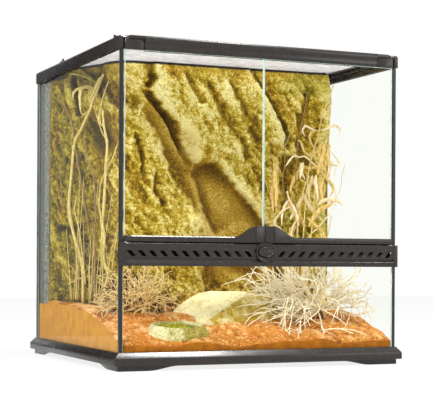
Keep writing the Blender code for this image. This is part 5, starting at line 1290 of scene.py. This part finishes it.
def rounded(name, body, width, look):
    """A copy of a CAD node with its edges of more than 32 degrees rounded, which stands for the node."""
    shape = bmesh.new()
    shape.from_mesh(frame["nodes"][name].data)
    bmesh.ops.remove_doubles(shape, verts=shape.verts, dist=1e-6)
    bmesh.ops.dissolve_limit(shape, angle_limit=math.radians(0.6), verts=shape.verts, edges=shape.edges)
    sharp = [e for e in shape.edges if len(e.link_faces) == 2 and e.calc_face_angle() > math.radians(32)]
    settings = {"segments": 2, "profile": 0.5, "affect": "EDGES", "clamp_overlap": True}
    bmesh.ops.bevel(shape, geom=sharp, offset=width * MM, **settings)
    mesh = bpy.data.meshes.new(name + "_rounded")
    shape.to_mesh(mesh)
    shape.free()
    mesh.shade_smooth()
    mesh.set_sharp_from_angle(angle=math.radians(50))
    mesh.materials.clear()
    mesh.materials.append(look)
    piece = bpy.data.objects.new(name + "_rounded", mesh)
    bpy.context.scene.collection.objects.link(piece)
    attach(piece, body)
    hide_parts(name)


def edge_band(name, body, look):
    """The four ground edges of a pane, as thin blocks round it, whose faces are turned outwards."""
    low, high = (np.array(corner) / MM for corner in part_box(name))
    thin = int(np.argmin(high - low))
    first, second = [axis for axis in (0, 1, 2) if axis != thin]
    parts = []
    for fixed, running in ((first, second), (second, first)):
        for end, sign in ((low, -1), (high, 1)):
            corners = np.zeros((2, 2, 3))
            corners[..., fixed] = end[fixed] + sign * BAND_PROUD
            corners[0, :, thin], corners[1, :, thin] = low[thin], high[thin]
            corners[:, 0, running], corners[:, 1, running] = low[running], high[running]
            inner = corners.copy()
            inner[..., fixed] -= sign * BAND_DEPTH
            block = np.concatenate([corners.reshape(4, 3), inner.reshape(4, 3)])
            quads = BAND_FACES.copy()
            a, b, c, d = (block[quads[:, k]] for k in range(4))
            outward = (a + b + c + d) / 4 - block.mean(axis=0)
            inside_out = np.einsum("ij,ij->i", np.cross(c - a, d - b), outward) < 0
            quads[inside_out] = quads[inside_out][:, ::-1]
            parts.append((block, quads))
    mesh_piece(name + "_edges", *joined(*parts), look, body, "float_glass", sharp=30)


# Camera, light and floor: a lamp is its name, place, target, width and height in metres, and power. The last
# one gives the highlights on edges
LAMPS = (
    ("key_softbox", (-1.6, -1.8, 1.8), (0, -0.1, 0.25), (0.9, 0.9), 58),
    ("fill_softbox", (1.9, -1.8, 0.9), (0, 0, 0.25), (1.4, 1.2), 12),
    ("top_softbox", (0.4, -0.38, 2.0), (0, -0.2, 0.1), (0.5, 0.4), 24),
    ("edge_highlight_softbox", (0.42, -0.36, 2.0), (0, -0.2, 0.1), (0.6, 0.45), 60),
)
FLOOR_HALF = 4000
FLAG_LEFT, FLAG_RIGHT, FLAG_REAR, FLAG_TOP = -1100, -240, 750, 1100


def photo_camera():
    """The photograph's camera, turned by its yaw and roll, its centre shifted as the picture was cropped."""
    data = bpy.data.cameras.new("photo_camera")
    data.sensor_fit = "HORIZONTAL"
    data.sensor_width = SENSOR
    data.lens = FOCAL_PIXELS / PICTURE[0] * SENSOR
    data.shift_x = (PICTURE[0] / 2 - PRINCIPAL[0]) / PICTURE[0]
    data.shift_y = (PRINCIPAL[1] - PICTURE[1] / 2) / PICTURE[0]
    data.clip_end = 50.0
    right, up = Vector(CAMERA_RIGHT), Vector(UPRIGHT)
    c, s = math.cos(CAMERA_ROLL), math.sin(CAMERA_ROLL)
    x_axis = right * c + up * s
    y_axis = up * c - right * s
    camera = bpy.data.objects.new("photo_camera", data)
    turned = Matrix((x_axis, y_axis, x_axis.cross(y_axis))).transposed().to_4x4()
    camera.matrix_world = Matrix.Translation([v * MM for v in CAMERA_PLACE]) @ turned
    bpy.context.scene.collection.objects.link(camera)
    bpy.context.scene.camera = camera


def area_light(name, place, target, size, power):
    """A rectangular lamp at a place, turned towards its target."""
    data = bpy.data.lights.new(name, "AREA")
    data.shape = "RECTANGLE"
    data.size, data.size_y = size
    data.energy = power
    light = bpy.data.objects.new(name, data)
    light.location = place
    light.rotation_euler = (Vector(target) - Vector(place)).to_track_quat("-Z", "Y").to_euler()
    bpy.context.scene.collection.objects.link(light)
    return light


def surround():
    """A soft pale world that the camera, reflections and glass see as white."""
    world = bpy.data.worlds.new("studio_surround")
    world.use_nodes = True
    tree = world.node_tree
    soft = tree.nodes["Background"]
    plug(tree, soft, {"Color": linear("F2F3F5"), "Strength": 0.8})
    white = node(tree, "Background", {"Color": linear("FFFFFF"), "Strength": 1.0})
    both = node(tree, "MixShader", {0: to_the_eye(tree), 1: soft.outputs[0], 2: white})
    plug(tree, tree.nodes["World Output"], {"Surface": both})
    bpy.context.scene.world = world


def studio():
    """Lamps, a white floor and a grey flag to the left. Only reflections show the flag and the last lamp."""
    lamps = [area_light(*lamp) for lamp in LAMPS]
    lamps[-1].visible_diffuse = False
    lamps[-1].visible_transmission = False
    surround()
    bpy.context.scene.view_settings.view_transform = "Standard"
    far, level = FLOOR_HALF, -0.2
    corners = [(-far, -far, level), (far, -far, level), (far, far, level), (-far, far, level)]
    floor = mesh_piece("studio_floor", corners, [(0, 1, 2, 3)], floor_look(), None, None)
    ends = ((FLAG_LEFT, 0), (FLAG_RIGHT, 0), (FLAG_RIGHT, FLAG_TOP), (FLAG_LEFT, FLAG_TOP))
    corners = [(x, FLAG_REAR, z) for x, z in ends]
    flag = mesh_piece("grey_flag", corners, [(0, 1, 2, 3)], flag_look(), None, None)
    for seen_by in ("camera", "diffuse", "transmission", "volume_scatter", "shadow"):
        setattr(flag, "visible_" + seen_by, False)


# The whole tank


def body_of(name):
    """The body that a CAD node rides on."""
    for body, nodes in frame["record"]["behaviour"]["bodies"].items():
        if name in nodes:
            return body
    return TANK


def finish_nodes():
    """Materials of the CAD nodes that stay, rounded copies of the plastic ones, and bands on panes' edges."""
    plastic, silicone, glass, steel = plastic_look(), silicone_look(), glass_look(), steel_look()
    pale_edge = glass_edge_look("glass_edge_polished", "BFE0D6", "E4F6EC")
    grey_edge = glass_edge_look("glass_edge_sealed", "54605C", "6E7A74")
    for name, width in PLASTIC_NODES.items():
        rounded(name, body_of(name), width, plastic)
    endings = {"gate": plastic, "blade": plastic, "trim": silicone, "seal": silicone, "pin": steel}
    endings["glass"] = glass
    for name, cad_node in frame["nodes"].items():
        look = endings.get(name.split("_")[-1])
        if look is None:
            continue
        cad_node.data.materials.clear()
        cad_node.data.materials.append(look)
        if look is glass and name != "base_glass":
            in_seals = name in ("left_glass", "right_glass", "back_glass")
            edge_band(name, body_of(name), grey_edge if in_seals else pale_edge)
    lid_mesh(steel)


def contents():
    """Rock, sand, dish, flat rock and plants, each with its own materials."""
    looks = {
        "straw": stalk_look("dry_straw_stalk", "A8873C", "D3B96A", "F0E2A6"),
        "bark": stalk_look("dry_brown_stalk", "5C4424", "8C6E40", "B79A62"),
        "olive": stalk_look("dry_olive_stalk", "7C7420", "A79A34", "CFC45C"),
        "gold": stalk_look("dry_golden_leaf", "A47A28", "E2BC68", "FBE6AE"),
        "cream": stalk_look("dry_cream_leaf", "D2B27A", "EFDCAE", "FFF6DE"),
    }
    rock_background(rock_look(), foam_side_look())
    sand(sand_look())
    sand_grit(grit_look())
    water_dish(stone_look("dish_resin_stone", "5C5414", "AC9C44", "ACA460", "E6DEB8", -0.4), water_look())
    flat_rock(stone_look("flat_resin_stone", "6E5C04", "C2A01C", "E6D27C", "FFF6D0", -0.34))
    beige = stalk_look("dry_beige_twig", "B8904C", "F0D08A", "FFF4CC")
    cream = stalk_look("dry_cream_twig", "E2C896", "FBEFCE", "FFFFF6")
    bushes(beige, cream, stalk_look("dark_stem_bark_and_shade", "3A2412", "5A3C20", "7E5C38", 0.8))
    reeds(looks)
    grass(looks)


finish_nodes()
contents()
photo_camera()
studio()
